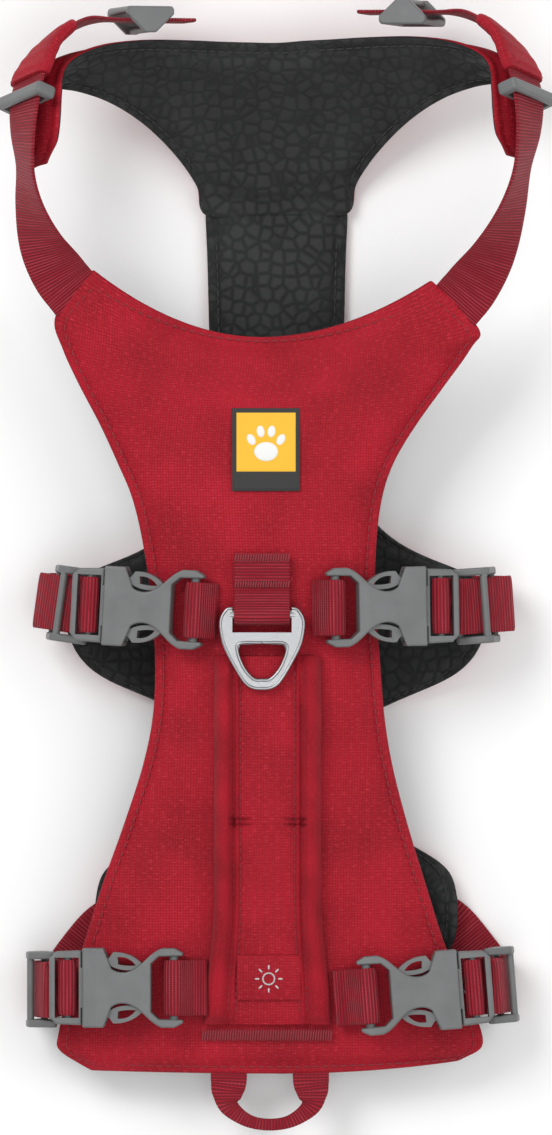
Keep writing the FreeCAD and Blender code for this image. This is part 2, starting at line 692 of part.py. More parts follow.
def rear_loop():
    """The webbing loop behind the back panel: two wide legs that narrow to a folded bow."""
    z = back_height(0, REAR_LOOP_Y + 5) - 4.2
    outer = [(21.2, 0.0), (20.6, -4.5), (17.6, -10.5), (9.0, -16.0), (0.0, -17.6)]
    inner = [(8.2, 0.0), (9.6, -3.8), (11.8, -8.0), (6.6, -12.2), (0.0, -13.4)]
    outline = outer + [(-x, y) for x, y in reversed(outer[:-1])]
    outline += [(-x, y) for x, y in inner] + list(reversed(inner[:-1]))
    body = plate(outline_face(outline, [(0, 8), (9, 17)]), WEB_T)
    return placed(body, FreeCAD.Placement(V(-0.8, REAR_LOOP_Y, z), FreeCAD.Rotation()))


def chest_loop():
    """The webbing loop for a leash on the front of the chest: a strip sewn down at both ends."""
    middle = YOKE_OUTER[len(YOKE_OUTER) // 2][3]
    ways = normals(YOKE_OUTER, YOKE_FLIP)[len(YOKE_OUTER) // 2][3] * -1
    up = V(0, ways.z * -1, ways.y)
    stations = []
    for x, gap in ((-18, 1.2), (-13, 1.4), (-9, 5.0), (-4, 8.2), (4, 8.2), (9, 5.0), (13, 1.4), (18, 1.2)):
        stations.append((middle + V(x, 0, 0) + ways * (gap + WEB_T / 2), up))
    return ribbon(stations, WEB * 0.7, -WEB_T / 2, WEB_T / 2)


FEMALE, MALE, PRONG, SLIDER = female_body(), male_base(), prong(), slider()
RING_Z = back_height(*RING_AXIS) + RING_BAR + FIT + WEB_T + 0.9

make_back_panel()
make_belly_panel()
make_yoke()
make_buckles()
make_neck_straps()
make_back_pieces()
save("rear_loop", rear_loop())
save("chest_loop", chest_loop())
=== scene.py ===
"""Padded dog harness seen from above: sewn panels, webbing, moulded hardware and a forged leash ring.

The CAD frame gives the hardware and every place; the soft goods are made here, in metres, in the same frame.
"""
import bpy
import numpy as np
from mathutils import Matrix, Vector


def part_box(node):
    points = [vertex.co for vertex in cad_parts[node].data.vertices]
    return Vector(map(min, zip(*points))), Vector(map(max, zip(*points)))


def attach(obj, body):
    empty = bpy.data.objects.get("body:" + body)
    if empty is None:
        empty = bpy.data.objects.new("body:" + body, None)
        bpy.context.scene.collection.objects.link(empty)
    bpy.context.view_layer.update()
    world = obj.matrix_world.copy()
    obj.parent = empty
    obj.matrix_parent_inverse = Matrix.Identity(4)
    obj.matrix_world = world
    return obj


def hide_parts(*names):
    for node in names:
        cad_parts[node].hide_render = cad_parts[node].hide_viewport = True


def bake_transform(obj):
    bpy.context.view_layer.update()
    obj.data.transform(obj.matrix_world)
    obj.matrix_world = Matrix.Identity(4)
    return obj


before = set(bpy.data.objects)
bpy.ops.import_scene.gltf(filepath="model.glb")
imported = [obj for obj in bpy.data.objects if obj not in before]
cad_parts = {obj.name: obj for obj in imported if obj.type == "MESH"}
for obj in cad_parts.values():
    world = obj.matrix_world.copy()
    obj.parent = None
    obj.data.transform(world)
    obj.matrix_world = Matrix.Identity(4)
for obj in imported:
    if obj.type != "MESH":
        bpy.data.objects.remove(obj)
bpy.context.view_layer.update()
MM = 0.001
RNG = np.random.default_rng(7)

# ---- driving sizes, in millimetres ----
WEB = 20.0  # webbing width
WEB_T = 1.5
PANEL_T = 6.5  # back panel, face to lining
CHEST_T = 5.8
CHEST_X = 1.6  # centre line of the chest pieces
RING_X, RING_Y = -3.6, -16.6
HANDLE_FRONT, HANDLE_REAR = -31.5, -163.5
HANDLE_MIDDLE = -91.5
HANDLE_X, HANDLE_HALF = -1.6, 19.3
HANDLE_FLOAT = 0.75  # from the back panel to the handle's padding
HEM = 3.6  # from a panel's edge to its stitches
EDGE_T = 2.3  # a panel's thickness at its bound edge
PADDED_FROM = 8.0  # distance over which a panel reaches its full padding
MOST_SWELL = 1.1
ON_LINING = CHEST_T / 2 + 1.25  # the stitches' height off the chest pieces' outer face
IN_HEM = -1.95  # the stitches' height against the back panel's upper face

# the back panel's upper face, neck to tail: left x, left y, right x, right y, middle y, middle z, edge z
BACK_ROWS = np.array([
    (-63.6, 106.4, 56.4, 102.5, 82.9, 43.0, 50.0), (-77.1, 90.0, 73.6, 85.0, 75.7, 43.5, 49.5),
    (-74.6, 77.5, 70.7, 77.5, 69.3, 44.0, 47.5), (-69.3, 65.4, 61.4, 64.3, 60.7, 44.0, 45.0),
    (-61.8, 50.7, 51.4, 50.0, 49.3, 44.0, 42.5), (-55.7, 36.8, 43.9, 36.8, 36.4, 44.0, 40.5),
    (-50.7, 24.3, 40.0, 24.3, 24.3, 43.8, 39.0), (-47.1, 8.2, 38.2, 8.2, 8.2, 43.4, 37.5),
    (-44.3, -11.4, 37.9, -11.4, -11.4, 42.8, 36.5), (-42.9, -32.9, 39.6, -32.9, -32.9, 41.8, 35.5),
    (-43.6, -52.5, 41.1, -52.5, -52.5, 40.6, 34.5), (-47.1, -70.4, 43.9, -70.4, -70.4, 39.2, 33.0),
    (-53.9, -91.8, 49.3, -91.8, -91.8, 37.2, 31.0), (-61.4, -113.2, 55.7, -113.2, -113.2, 34.8, 28.8),
    (-67.5, -132.9, 61.8, -132.9, -132.9, 32.4, 26.6), (-73.2, -150.7, 68.9, -150.7, -150.7, 30.2, 24.6),
    (-77.1, -166.8, 75.4, -165.7, -166.3, 28.2, 22.8), (-76.8, -173.9, 75.4, -173.2, -174.5, 27.2, 22.0),
    (-65.4, -181.4, 67.5, -178.2, -181.8, 26.4, 21.5)])

# the belly panel, tail to neck: y, half width, how far its edge curls up
BELLY_ROWS = np.array([
    (-142.0, 56.0, 5.0), (-138.0, 63.0, 6.0), (-130.0, 66.0, 7.0), (-118.0, 66.0, 7.0), (-108.0, 62.0, 5.0),
    (-100.0, 50.0, 2.0), (-90.0, 33.0, 0.0), (-74.0, 26.0, 0.0), (-58.0, 28.0, 0.0), (-49.0, 42.0, 1.5),
    (-42.0, 60.0, 7.0), (-34.0, 71.0, 11.0), (-22.0, 77.0, 13.0), (-10.0, 78.0, 13.0), (-3.0, 73.0, 11.0),
    (2.0, 62.0, 7.0), (9.0, 46.0, 3.0), (20.0, 33.0, 0.0), (40.0, 26.0, 0.0), (66.0, 24.0, 0.0),
    (92.0, 24.5, 0.0), (112.0, 25.0, 0.0), (127.0, 25.6, 0.0), (132.0, 25.0, 0.0)])
FLAT_HALF = 30.0

# the yoke's outer face, left tip to centre: hole edge x, y, z and neck edge x, y, z
YOKE_LEFT = np.array([
    (-87.5, 142.0, 44.0, -80.5, 142.0, 60.0), (-90.5, 150.0, 40.0, -78.0, 150.0, 68.0),
    (-91.0, 160.0, 37.0, -77.0, 160.0, 70.0), (-88.0, 169.0, 34.0, -76.5, 170.0, 67.0),
    (-81.0, 174.0, 31.0, -75.5, 178.5, 61.0), (-72.0, 173.0, 28.0, -71.0, 184.5, 54.0),
    (-60.0, 168.0, 24.0, -61.0, 189.0, 47.0), (-48.0, 160.0, 18.5, -47.0, 191.0, 40.0),
    (-37.0, 149.5, 11.5, -31.0, 191.0, 34.0), (-28.5, 138.0, 4.5, -18.0, 190.5, 30.5),
    (-24.0, 127.2, 0.4, -9.0, 190.2, 28.8)])
YOKE_MIDDLE = np.array([(1.6, 127.2, 0.4, 1.6, 190.0, 28.4)])
YOKE_SAG = 5.0
RIGHT_ARM_FORWARD = 3.0

# the left neck strap, shoulder to slider: middle point and direction across
NECK_STRAP = np.array([
    (-71.6, 99.2, 47.2, 0.63, 0.78, 0.00), (-76.0, 105.0, 50.5, 0.66, 0.68, 0.30),
    (-82.0, 116.0, 56.5, 0.62, 0.40, 0.68), (-86.0, 129.0, 61.5, 0.45, 0.12, 0.88),
    (-87.8, 142.0, 65.0, 0.30, 0.00, 0.95), (-88.6, 154.0, 66.5, 0.42, 0.00, 0.90),
    (-88.0, 165.0, 65.5, 0.50, 0.00, 0.86), (-85.6, 176.0, 61.0, 0.50, 0.10, 0.86),
    (-80.0, 186.4, 54.0, 0.40, 0.25, 0.88), (-70.5, 193.2, 46.0, 0.25, 0.20, 0.95),
    (-61.0, 195.8, 40.0, 0.20, 0.00, 0.98), (-51.0, 196.0, 36.5, 0.20, 0.00, 0.98),
    (-41.0, 196.0, 33.5, 0.20, 0.00, 0.98), (-30.0, 196.0, 30.2, 0.20, 0.00, 0.98)])
RIGHT_SHOULDER_SHIFT = np.array((-8.5, -4.6, -0.6))


# ---------------------------------------------------------------- shader helpers
class Shader:
    """A node material built step by step: every method adds nodes and gives back the last one's output."""

    def __init__(self, name, roughness=0.8, **constants):
        self.material = bpy.data.materials.new(name)
        self.material.use_nodes = True
        self.tree = self.material.node_tree
        self.surface = self.tree.nodes["Principled BSDF"]
        self.surface.inputs["Roughness"].default_value = roughness
        for socket, value in constants.items():
            self.surface.inputs[socket.replace("_", " ")].default_value = value

    def feed(self, socket, value):
        if hasattr(value, "links"):
            self.tree.links.new(value, socket)
        else:
            socket.default_value = value

    def node(self, kind, output=0, settings=(), **inputs):
        made = self.tree.nodes.new("ShaderNode" + kind)
        for key, value in dict(settings).items():
            setattr(made, key, value)
        for key, value in inputs.items():
            self.feed(made.inputs[key.replace("_", " ")], value)
        return made.outputs[output]

    def math(self, operation, a, b=0.0):
        made = self.tree.nodes.new("ShaderNodeMath")
        made.operation = operation
        self.feed(made.inputs[0], a)
        self.feed(made.inputs[1], b)
        return made.outputs[0]

    def in_mm(self, output):
        vector = self.node("TexCoord", output)
        scaled = self.tree.nodes.new("ShaderNodeVectorMath")
        scaled.operation = "SCALE"
        scaled.inputs["Scale"].default_value = 1 / MM
        self.feed(scaled.inputs[0], vector)
        return scaled.outputs[0]

    def uv(self):
        """The piece's own map, in millimetres: x along the cloth, y across it."""
        return self.in_mm(2)

    def place(self):
        """The point on the object, in millimetres."""
        return self.in_mm(3)

    def split(self, vector):
        made = self.tree.nodes.new("ShaderNodeSeparateXYZ")
        self.feed(made.inputs[0], vector)
        return made.outputs

    def ripple(self, value, period, phase=0.0):
        """0 to 1 and back over one period."""
        turned = self.math("MULTIPLY_ADD", value, 2 * np.pi / period)
        turned.node.inputs[2].default_value = phase
        wave = self.math("SINE", turned)
        half = self.math("MULTIPLY_ADD", wave, 0.5)
        half.node.inputs[2].default_value = 0.5
        return half

    def noise(self, vector, size, detail=2.0):
        return self.node("TexNoise", 0, Vector=vector, Scale=1.0 / size, Detail=detail)

    def stretch(self, vector, x, y, z=1.0):
        return self.node("Mapping", 0, Vector=vector, Scale=(x, y, z))

    def mix(self, share, a, b):
        made = self.tree.nodes.new("ShaderNodeMix")
        made.data_type = "RGBA"
        self.feed(made.inputs[0], share)
        for socket, value in ((made.inputs[6], a), (made.inputs[7], b)):
            self.feed(socket, (*value, 1.0) if isinstance(value, tuple) and len(value) == 3 else value)
        return made.outputs[2]

    def ramp(self, value, low, high):
        return self.node("MapRange", 0, Value=value, From_Min=low, From_Max=high)

    def colour(self, value):
        self.feed(self.surface.inputs["Base Color"], value)

    def rough(self, value):
        self.feed(self.surface.inputs["Roughness"], value)

    def bump(self, height, depth_mm, strength=1.0):
        made = self.tree.nodes.new("ShaderNodeBump")
        made.inputs["Strength"].default_value = strength
        made.inputs["Distance"].default_value = depth_mm * MM
        self.feed(made.inputs["Height"], height)
        self.feed(self.surface.inputs["Normal"], made.outputs[0])


CRIMSON = (0.41, 0.006, 0.020)
CRIMSON_DEEP = (0.26, 0.003, 0.011)
CRIMSON_LIGHT = (0.58, 0.030, 0.050)
CRIMSON_GAP = (0.13, 0.002, 0.006)
WEB_RED = (0.33, 0.008, 0.022)
WEB_DEEP = (0.15, 0.003, 0.010)
WEB_LIGHT = (0.60, 0.10, 0.13)


def ripstop_material():
    """Crimson plain weave: lighter flecks drawn out along the weft, heavier threads in a small grid, and painted
    shade of folds as soft darker patches.
    """
    s = Shader("crimson_ripstop", 0.72, Sheen_Weight=0.04, Sheen_Roughness=0.5, Specular_IOR_Level=0.22)
    s.surface.inputs["Sheen Tint"].default_value = (1.0, 0.35, 0.4, 1.0)
    point = s.uv()
    x, y, _ = s.split(point)
    warp, weft = s.ripple(x, 1.0), s.ripple(y, 1.0)
    weave = s.math("MULTIPLY", warp, weft)
    grid = s.math("MAXIMUM", s.math("POWER", s.ripple(x, 3.1), 24.0), s.math("POWER", s.ripple(y, 3.1), 24.0))
    flecks = s.ramp(s.noise(s.stretch(point, 2.0, 0.40), 0.85, 3.0), 0.52, 0.72)
    # painted shade: soft large patches darken the crimson towards CRIMSON_DEEP, standing in for the shade of
    # folds
    cloud = s.ramp(s.noise(point, 26.0, 3.0), 0.3, 0.7)
    base = s.mix(cloud, CRIMSON_DEEP, CRIMSON)
    base = s.mix(s.math("MULTIPLY", flecks, 0.8), base, CRIMSON_LIGHT)
    base = s.mix(s.math("MULTIPLY", grid, 0.10), base, CRIMSON_LIGHT)
    gaps = s.math("POWER", weave, 2.0)
    s.colour(s.mix(s.math("MULTIPLY", gaps, 0.85), base, CRIMSON_GAP))
    s.bump(s.math("SUBTRACT", s.math("ADD", s.math("MULTIPLY", grid, 0.3), flecks), gaps), 0.12, 0.7)
    return s.material


def twill_material(name, deep, base, light):
    """Narrow fabric cut on the bias: fine diagonal ribs with light flecks and painted fold shade in soft darker
    patches, for bindings, rolls and sleeves.
    """
    s = Shader(name, 0.75, Sheen_Weight=0.04, Sheen_Roughness=0.5, Specular_IOR_Level=0.22)
    point = s.uv()
    x, y, _ = s.split(point)
    ribs = s.ripple(s.math("ADD", x, s.math("MULTIPLY", y, 1.3)), 0.95)
    flecks = s.ramp(s.noise(s.stretch(point, 1.2, 0.9), 0.8, 2.0), 0.55, 0.75)
    # painted shade: soft patches darken the colour towards deep, standing in for the shade of folds
    cloud = s.ramp(s.noise(point, 14.0, 2.0), 0.3, 0.7)
    colour = s.mix(cloud, deep, base)
    colour = s.mix(s.math("MULTIPLY", ribs, 0.35), colour, deep)
    s.colour(s.mix(s.math("MULTIPLY", flecks, 0.5), colour, light))
    s.bump(s.math("ADD", ribs, flecks), 0.14, 0.8)
    return s.material


def webbing_material():
    """Ribbed webbing: ribs across its length, dotted with light threads, and a plain selvedge."""
    s = Shader("ribbed_webbing", 0.62, Sheen_Weight=0.04, Sheen_Roughness=0.45, Specular_IOR_Level=0.25)
    point = s.uv()
    x, y, _ = s.split(point)
    ribs = s.ripple(x, 1.1)
    dots = s.math("MULTIPLY", s.math("POWER", ribs, 3.0), s.ripple(y, 0.85))
    patchy = s.ramp(s.noise(s.stretch(point, 1.0, 0.12), 2.2, 2.0), 0.42, 0.62)
    colour = s.mix(ribs, WEB_DEEP, WEB_RED)
    s.colour(s.mix(s.math("MULTIPLY", s.math("MULTIPLY", dots, patchy), 0.62), colour, WEB_LIGHT))
    s.bump(s.math("ADD", ribs, s.math("MULTIPLY", dots, 0.5)), 0.28, 0.9)
    return s.material


def lining_material():
    """Charcoal lining embossed with rounded cells, over a fine knit."""
    s = Shader("embossed_lining", 0.82, Sheen_Weight=0.08, Sheen_Roughness=0.4, Specular_IOR_Level=0.3)
    point = s.place()
    to_edge = {"feature": "DISTANCE_TO_EDGE"}
    cells = s.node("TexVoronoi", 0, to_edge, Vector=point, Scale=1 / 4.6, Randomness=0.7)
    pillow = s.ramp(cells, 0.02, 0.22)
    knit = s.noise(point, 0.5, 2.0)
    # lighter in soft patches at random across the lining
    lighter_patches = s.ramp(s.noise(point, 18.0, 3.0), 0.35, 0.7)
    colour = s.mix(pillow, (0.013, 0.0135, 0.014), (0.018, 0.0185, 0.019))
    s.colour(s.mix(s.math("MULTIPLY", lighter_patches, 0.30), colour, (0.042, 0.044, 0.045)))
    s.rough(s.node("MapRange", 0, Value=pillow, To_Min=0.9, To_Max=0.62))
    s.bump(s.math("ADD", pillow, s.math("MULTIPLY", knit, 0.15)), 0.35, 0.7)
    return s.material


def plastic_material():
    """Grey moulded plastic: an even satin with a fine orange-peel texture and faint flow clouds."""
    s = Shader("grey_moulding", 0.42, Specular_IOR_Level=0.5)
    point = s.place()
    grain = s.noise(point, 0.35, 2.0)
    cloud = s.noise(point, 9.0, 2.0)
    s.colour(s.mix(s.ramp(cloud, 0.3, 0.7), (0.122, 0.125, 0.126), (0.148, 0.152, 0.153)))
    s.rough(s.node("MapRange", 0, Value=cloud, To_Min=0.36, To_Max=0.50))
    s.bump(grain, 0.05, 0.5)
    return s.material


def metal_material():
    """Forged aluminium, brushed along the ring, with small handling marks."""
    s = Shader("forged_aluminium", 0.35, Metallic=1.0)
    point = s.place()
    brush = s.noise(s.stretch(point, 0.35, 6.0), 0.9, 3.0)
    marks = s.ramp(s.noise(s.stretch(point, 5.0, 1.0), 1.5, 2.0), 0.62, 0.75)
    s.colour(s.mix(brush, (0.30, 0.305, 0.315), (0.44, 0.445, 0.455)))
    s.rough(s.math("ADD", s.node("MapRange", 0, Value=brush, To_Min=0.27, To_Max=0.42),
                   s.math("MULTIPLY", marks, 0.15)))
    s.bump(brush, 0.02, 0.35)
    return s.material


def thread_material(name, deep, light):
    """Bonded sewing thread with a twist along each stitch."""
    s = Shader(name, 0.6, Sheen_Weight=0.1)
    point = s.place()
    x, y, z = s.split(point)
    twist = s.ripple(s.math("ADD", x, s.math("ADD", y, z)), 0.45)
    s.colour(s.mix(twist, deep, light))
    s.bump(twist, 0.06, 0.6)
    return s.material


def woven_label_material(name, deep, light):
    """A close satin-woven label ground."""
    s = Shader(name, 0.6, Sheen_Weight=0.15)
    point = s.place()
    x, y, _ = s.split(point)
    weave = s.math("MULTIPLY", s.ripple(x, 0.34), s.ripple(y, 0.34))
    s.colour(s.mix(weave, light, deep))
    s.bump(weave, 0.06, 0.6)
    return s.material


def floor_material():
    s = Shader("pale_floor", 0.9)
    s.colour(s.mix(s.ramp(s.noise(s.place(), 300.0, 2.0), 0.2, 0.8), (0.93, 0.93, 0.93), (0.95, 0.95, 0.95)))
    return s.material


RIPSTOP = ripstop_material()
WEBBING = webbing_material()
LINING = lining_material()
PLASTIC = plastic_material()
METAL = metal_material()
BINDING = twill_material("crimson_binding", CRIMSON_DEEP, CRIMSON, CRIMSON_LIGHT)
ROLL = twill_material("crimson_roll", CRIMSON_DEEP, CRIMSON, CRIMSON_LIGHT)
THREAD = thread_material("dark_red_thread", (0.16, 0.003, 0.009), (0.36, 0.008, 0.022))
TACK_THREAD = thread_material("bar_tack_thread", (0.10, 0.003, 0.008), (0.40, 0.020, 0.040))
DARK_THREAD = thread_material("charcoal_thread", (0.008, 0.008, 0.008), (0.03, 0.03, 0.03))
DARK_BINDING = twill_material("charcoal_binding", (0.010, 0.010, 0.011), (0.022, 0.022, 0.024),
                              (0.04, 0.04, 0.042))
PALE_THREAD = thread_material("pale_icon_thread", (0.45, 0.42, 0.42), (0.72, 0.68, 0.68))
LABEL_GROUND = woven_label_material("label_yellow", (0.72, 0.33, 0.010), (0.92, 0.52, 0.02))
LABEL_BORDER = woven_label_material("label_dark", (0.006, 0.006, 0.006), (0.02, 0.02, 0.02))
LABEL_MOTIF = woven_label_material("label_white", (0.62, 0.62, 0.60), (0.88, 0.88, 0.86))


# ---------------------------------------------------------------- shape helpers
def unit(v):
    return v / np.maximum(np.linalg.norm(v, axis=-1, keepdims=True), 1e-9)


def smooth(t):
    t = np.clip(t, 0.0, 1.0)
    return t * t * (3 - 2 * t)


def through(points, at):
    """Catmull-Rom: a smooth curve through the rows of points, read at the given places (0 to count - 1)."""
    points = np.concatenate([2 * points[:1] - points[1:2], points, 2 * points[-1:] - points[-2:-1]])
    k = np.clip(np.floor(at).astype(int), 0, len(points) - 4)
    t = (at - k).reshape((-1,) + (1,) * (points.ndim - 1))
    a, b, c, d = (points[k + i] for i in range(4))
    return 0.5 * (2 * b + (c - a) * t + (2 * a - 5 * b + 4 * c - d) * t**2 + (3 * b - a - 3 * c + d) * t**3)


def even(points, count):
    """The curve through points, read at count places evenly spaced along its length."""
    fine = through(points, np.linspace(0, len(points) - 1, 40 * len(points)))
    run = np.concatenate([[0], np.cumsum(np.linalg.norm(np.diff(fine[:, :3], axis=0), axis=1))])
    want = np.linspace(0, run[-1], count)
    return np.stack([np.interp(want, run, fine[:, i]) for i in range(fine.shape[1])], axis=1)


def crowded(count, ends=0.5):
    """0 to 1 in count steps that crowd towards both ends."""
    t = np.linspace(0, 1, count)
    return (1 - ends) * t + ends * (0.5 - 0.5 * np.cos(np.pi * t))


def link_mesh(name, points, faces, uvs, materials, which, rounded):
    """An object from whole arrays: points in millimetres, faces as point numbers, one uv per corner."""
    mesh = bpy.data.meshes.new(name)
    mesh.from_pydata((points * MM).tolist(), [], faces)
    layer = mesh.uv_layers.new(name="cloth")
    layer.data.foreach_set("uv", (uvs * MM).ravel())
    for material in materials:
        mesh.materials.append(material)
    if which is not None:
        mesh.polygons.foreach_set("material_index", which.astype(np.int32))
    mesh.polygons.foreach_set("use_smooth", rounded)
    mesh.update()
    piece = bpy.data.objects.new(name, mesh)
    bpy.context.scene.collection.objects.link(piece)
    return piece


def make_mesh(name, points, faces, uvs, materials, which=None):
    """A smooth object made of quads."""
    rounded = np.ones(len(faces), bool)
    return link_mesh(name, points, faces.tolist(), uvs.reshape(-1, 2), materials, which, rounded)


def quads(rows, columns, wrap=False):
    """Point numbers of the quads of a grid; wrap joins the last column to the first."""
    i, j = np.meshgrid(np.arange(rows - 1), np.arange(columns if wrap else columns - 1), indexing="ij")
    right = (j + 1) % columns
    return np.stack([i * columns + j, i * columns + right, (i + 1) * columns + right, (i + 1) * columns + j],
                    axis=-1).reshape(-1, 4)


def lengths(grid, axis):
    """Distance run along one axis of a grid, averaged over the other."""
    step = np.linalg.norm(np.diff(grid, axis=axis), axis=-1).mean(axis=1 - axis)
    return np.concatenate([[0], np.cumsum(step)])


def tube(name, rings, materials, which=None, begin=0.0):
    """A closed form from rings of points (rows, points round, 3), with both ends closed by a centre point.

    begin is where the cloth's map starts along its length.
    """
    rows, around = rings.shape[:2]
    body = quads(rows, around, True)
    along = lengths(rings, 0) + begin
    loop = np.concatenate([rings, rings[:, :1]], axis=1)
    across = lengths(loop, 1)
    i, j = body[:, 0] // around, body[:, 0] % around
    uv = np.stack([np.stack([along[i], across[j]], -1), np.stack([along[i], across[j + 1]], -1),
                   np.stack([along[i + 1], across[j + 1]], -1), np.stack([along[i + 1], across[j]], -1)], 1)
    middle = rings.shape[0] * around
    points = np.concatenate([rings.reshape(-1, 3), rings[0].mean(0)[None], rings[-1].mean(0)[None]])
    n = np.arange(around)
    first = np.stack([np.full(around, middle), (n + 1) % around, n], 1)
    last = np.stack([np.full(around, middle + 1), (rows - 1) * around + n,
                     (rows - 1) * around + (n + 1) % around], 1)
    flat = points[np.concatenate([first, last])][:, :, :2]
    faces = body.tolist() + first.tolist() + last.tolist()
    uvs = np.concatenate([uv.reshape(-1, 2), flat.reshape(-1, 2)])
    if which is not None:
        which = np.concatenate([which[j], np.zeros(2 * around)])
    rounded = np.concatenate([np.ones(len(body)), np.zeros(2 * around)]).astype(bool)
    return link_mesh(name, points, faces, uvs, materials, which, rounded)


def frames(path):
    """Unit directions across a path and out of it, from its points and the directions stated for them."""
    along = unit(np.gradient(path[:, :3], axis=0))
    across = unit(path[:, 3:6] - along * (path[:, 3:6] * along).sum(1, keepdims=True))
    return across, np.cross(along, across)


def strap_rings(stations, width=WEB, thickness=WEB_T, step=1.2):
    """Webbing: the stations' smooth path, with a flat section whose long edges are rounded.

    width and thickness are single numbers, or one for each station.
    """
    stations = np.asarray(stations, float)
    sizes = np.stack([np.broadcast_to(np.asarray(v, float), len(stations)) for v in (width, thickness)], 1)
    rough = np.linalg.norm(np.diff(stations[:, :3], axis=0), axis=1).sum()
    path = even(np.concatenate([stations, sizes], 1), max(int(rough / step), 8))
    across, out = frames(path)
    a = np.linspace(0, 2 * np.pi, 29)[:-1] + np.pi / 28
    flat = path[:, 6:7] / 2 * (np.abs(np.cos(a)) ** 0.28 * np.sign(np.cos(a)))
    high = path[:, 7:8] / 2 * (np.sign(np.sin(a)) * np.abs(np.sin(a)) ** 0.6)
    return path[:, None, :3] + across[:, None] * flat[..., None] + out[:, None] * high[..., None]


def webbing(name, stations, **options):
    return tube(name, strap_rings(stations, **options), [WEBBING])


def panel(name, face, thickness, edge_t, roll, stitch, skins, joined=(0, 0, 0, 0)):
    """A sewn panel from a grid on its middle surface.

    Thickness grows from the bound edge to the full padding over the distance roll, by a smooth step, with a
    shallow dip at the stitch line. skins are the upper skin, the rim and the lower skin. joined keeps the full
    thickness where a border is sewn on to the next panel.
    """
    rows, columns = face.shape[:2]
    normal = grid_normals(face)
    near = edge_distance(face, joined)
    half = (edge_t + (thickness - edge_t) * smooth((near - stitch * 0.5) / roll)) / 2
    half = half - 0.45 * np.exp(-((near - stitch) / 1.0) ** 2)
    half = half * np.sqrt(np.clip(near / 1.1, 0.05, 1))
    wide = np.linalg.norm(np.diff(face, axis=1), axis=-1)
    own = np.concatenate([np.zeros((rows, 1)), np.cumsum(wide, axis=1)], axis=1)
    own = own - own[:, columns // 2][:, None]
    flat = np.stack([np.broadcast_to(lengths(face, 0)[:, None], own.shape), own], -1)
    piece = two_skins(name, face + normal * half[..., None], face - normal * half[..., None], flat, skins)
    return piece, np.concatenate([near.reshape(-1), near.reshape(-1)])


def two_skins(name, top, bottom, flat, skins):
    """A closed piece from a grid for each side, joined round their borders; flat is the grid's cloth map.

    skins are the materials of the top, the rim and the bottom, or one for all three.
    """
    rows, columns = top.shape[:2]
    count = rows * columns
    upper = quads(rows, columns)[:, ::-1]
    lower = quads(rows, columns) + count
    numbers = np.arange(count).reshape(rows, columns)
    border = np.concatenate([numbers[0, :-1], numbers[:-1, -1], numbers[-1, :0:-1], numbers[:0:-1, 0]])
    after = np.roll(border, -1)
    rim = np.stack([border, after, after + count, border + count], 1)
    faces = np.concatenate([upper, lower, rim])
    flat = np.concatenate([flat.reshape(-1, 2)] * 2)
    which = np.concatenate([np.zeros(len(upper)), np.full(len(lower), 2), np.ones(len(rim))])
    points = np.concatenate([top.reshape(-1, 3), bottom.reshape(-1, 3)])
    return make_mesh(name, points, faces, flat[faces], skins, which if len(skins) == 3 else None)


def grid_normals(face):
    """The unit normals of a grid: its way down crossed with its way across."""
    return unit(np.cross(np.gradient(face, axis=0), np.gradient(face, axis=1)))


def edge_distance(face, joined=(0, 0, 0, 0)):
    """Distance of each grid point from the nearest of the four borders, run along the grid's lines.

    joined adds to the distance from the first row, the last row, the first column and the last column.
    """
    down = np.linalg.norm(np.diff(face, axis=0), axis=-1)
    right = np.linalg.norm(np.diff(face, axis=1), axis=-1)
    zero_row, zero_column = np.zeros((1, face.shape[1])), np.zeros((face.shape[0], 1))
    d = np.concatenate([zero_row, np.cumsum(down, 0)], 0)
    r = np.concatenate([zero_column, np.cumsum(right, 1)], 1)
    return np.minimum(np.minimum(d + joined[0], d[-1:] - d + joined[1]),
                      np.minimum(r + joined[2], r[:, -1:] - r + joined[3]))


def puff(piece, still, cap, pressure=4.0, frames=20):
    """Cloth simulation: the closed pad swells under pressure, gravity off; points in still stay sewn down."""
    scene = bpy.context.scene
    start = np.empty(len(piece.data.vertices) * 3)
    piece.data.vertices.foreach_get("co", start)
    group = piece.vertex_groups.new(name="sewn")
    group.add(np.flatnonzero(still).tolist(), 1.0, "REPLACE")
    cloth = piece.modifiers.new("Cloth", "CLOTH")
    settings = cloth.settings
    settings.quality = 4
    settings.mass = 0.2
    settings.tension_stiffness = settings.compression_stiffness = 12
    settings.shear_stiffness = 6
    settings.bending_stiffness = 0.6
    settings.use_pressure = True
    settings.uniform_pressure_force = pressure
    settings.vertex_group_mass = "sewn"
    settings.effector_weights.gravity = 0
    cloth.point_cache.frame_start, cloth.point_cache.frame_end = 1, frames
    for number in range(1, frames + 1):
        scene.frame_set(number)
    settled = piece.evaluated_get(bpy.context.evaluated_depsgraph_get()).to_mesh()
    end = np.empty_like(start)
    settled.vertices.foreach_get("co", end)
    piece.modifiers.clear()
    piece.vertex_groups.clear()
    scene.frame_set(1)
    move = (end - start).reshape(-1, 3)
    length = np.linalg.norm(move, axis=1, keepdims=True)
    move = move * np.minimum(1, cap * MM / np.maximum(length, 1e-9))
    piece.data.vertices.foreach_set("co", (start.reshape(-1, 3) + move).ravel())
    piece.data.update()
    return piece


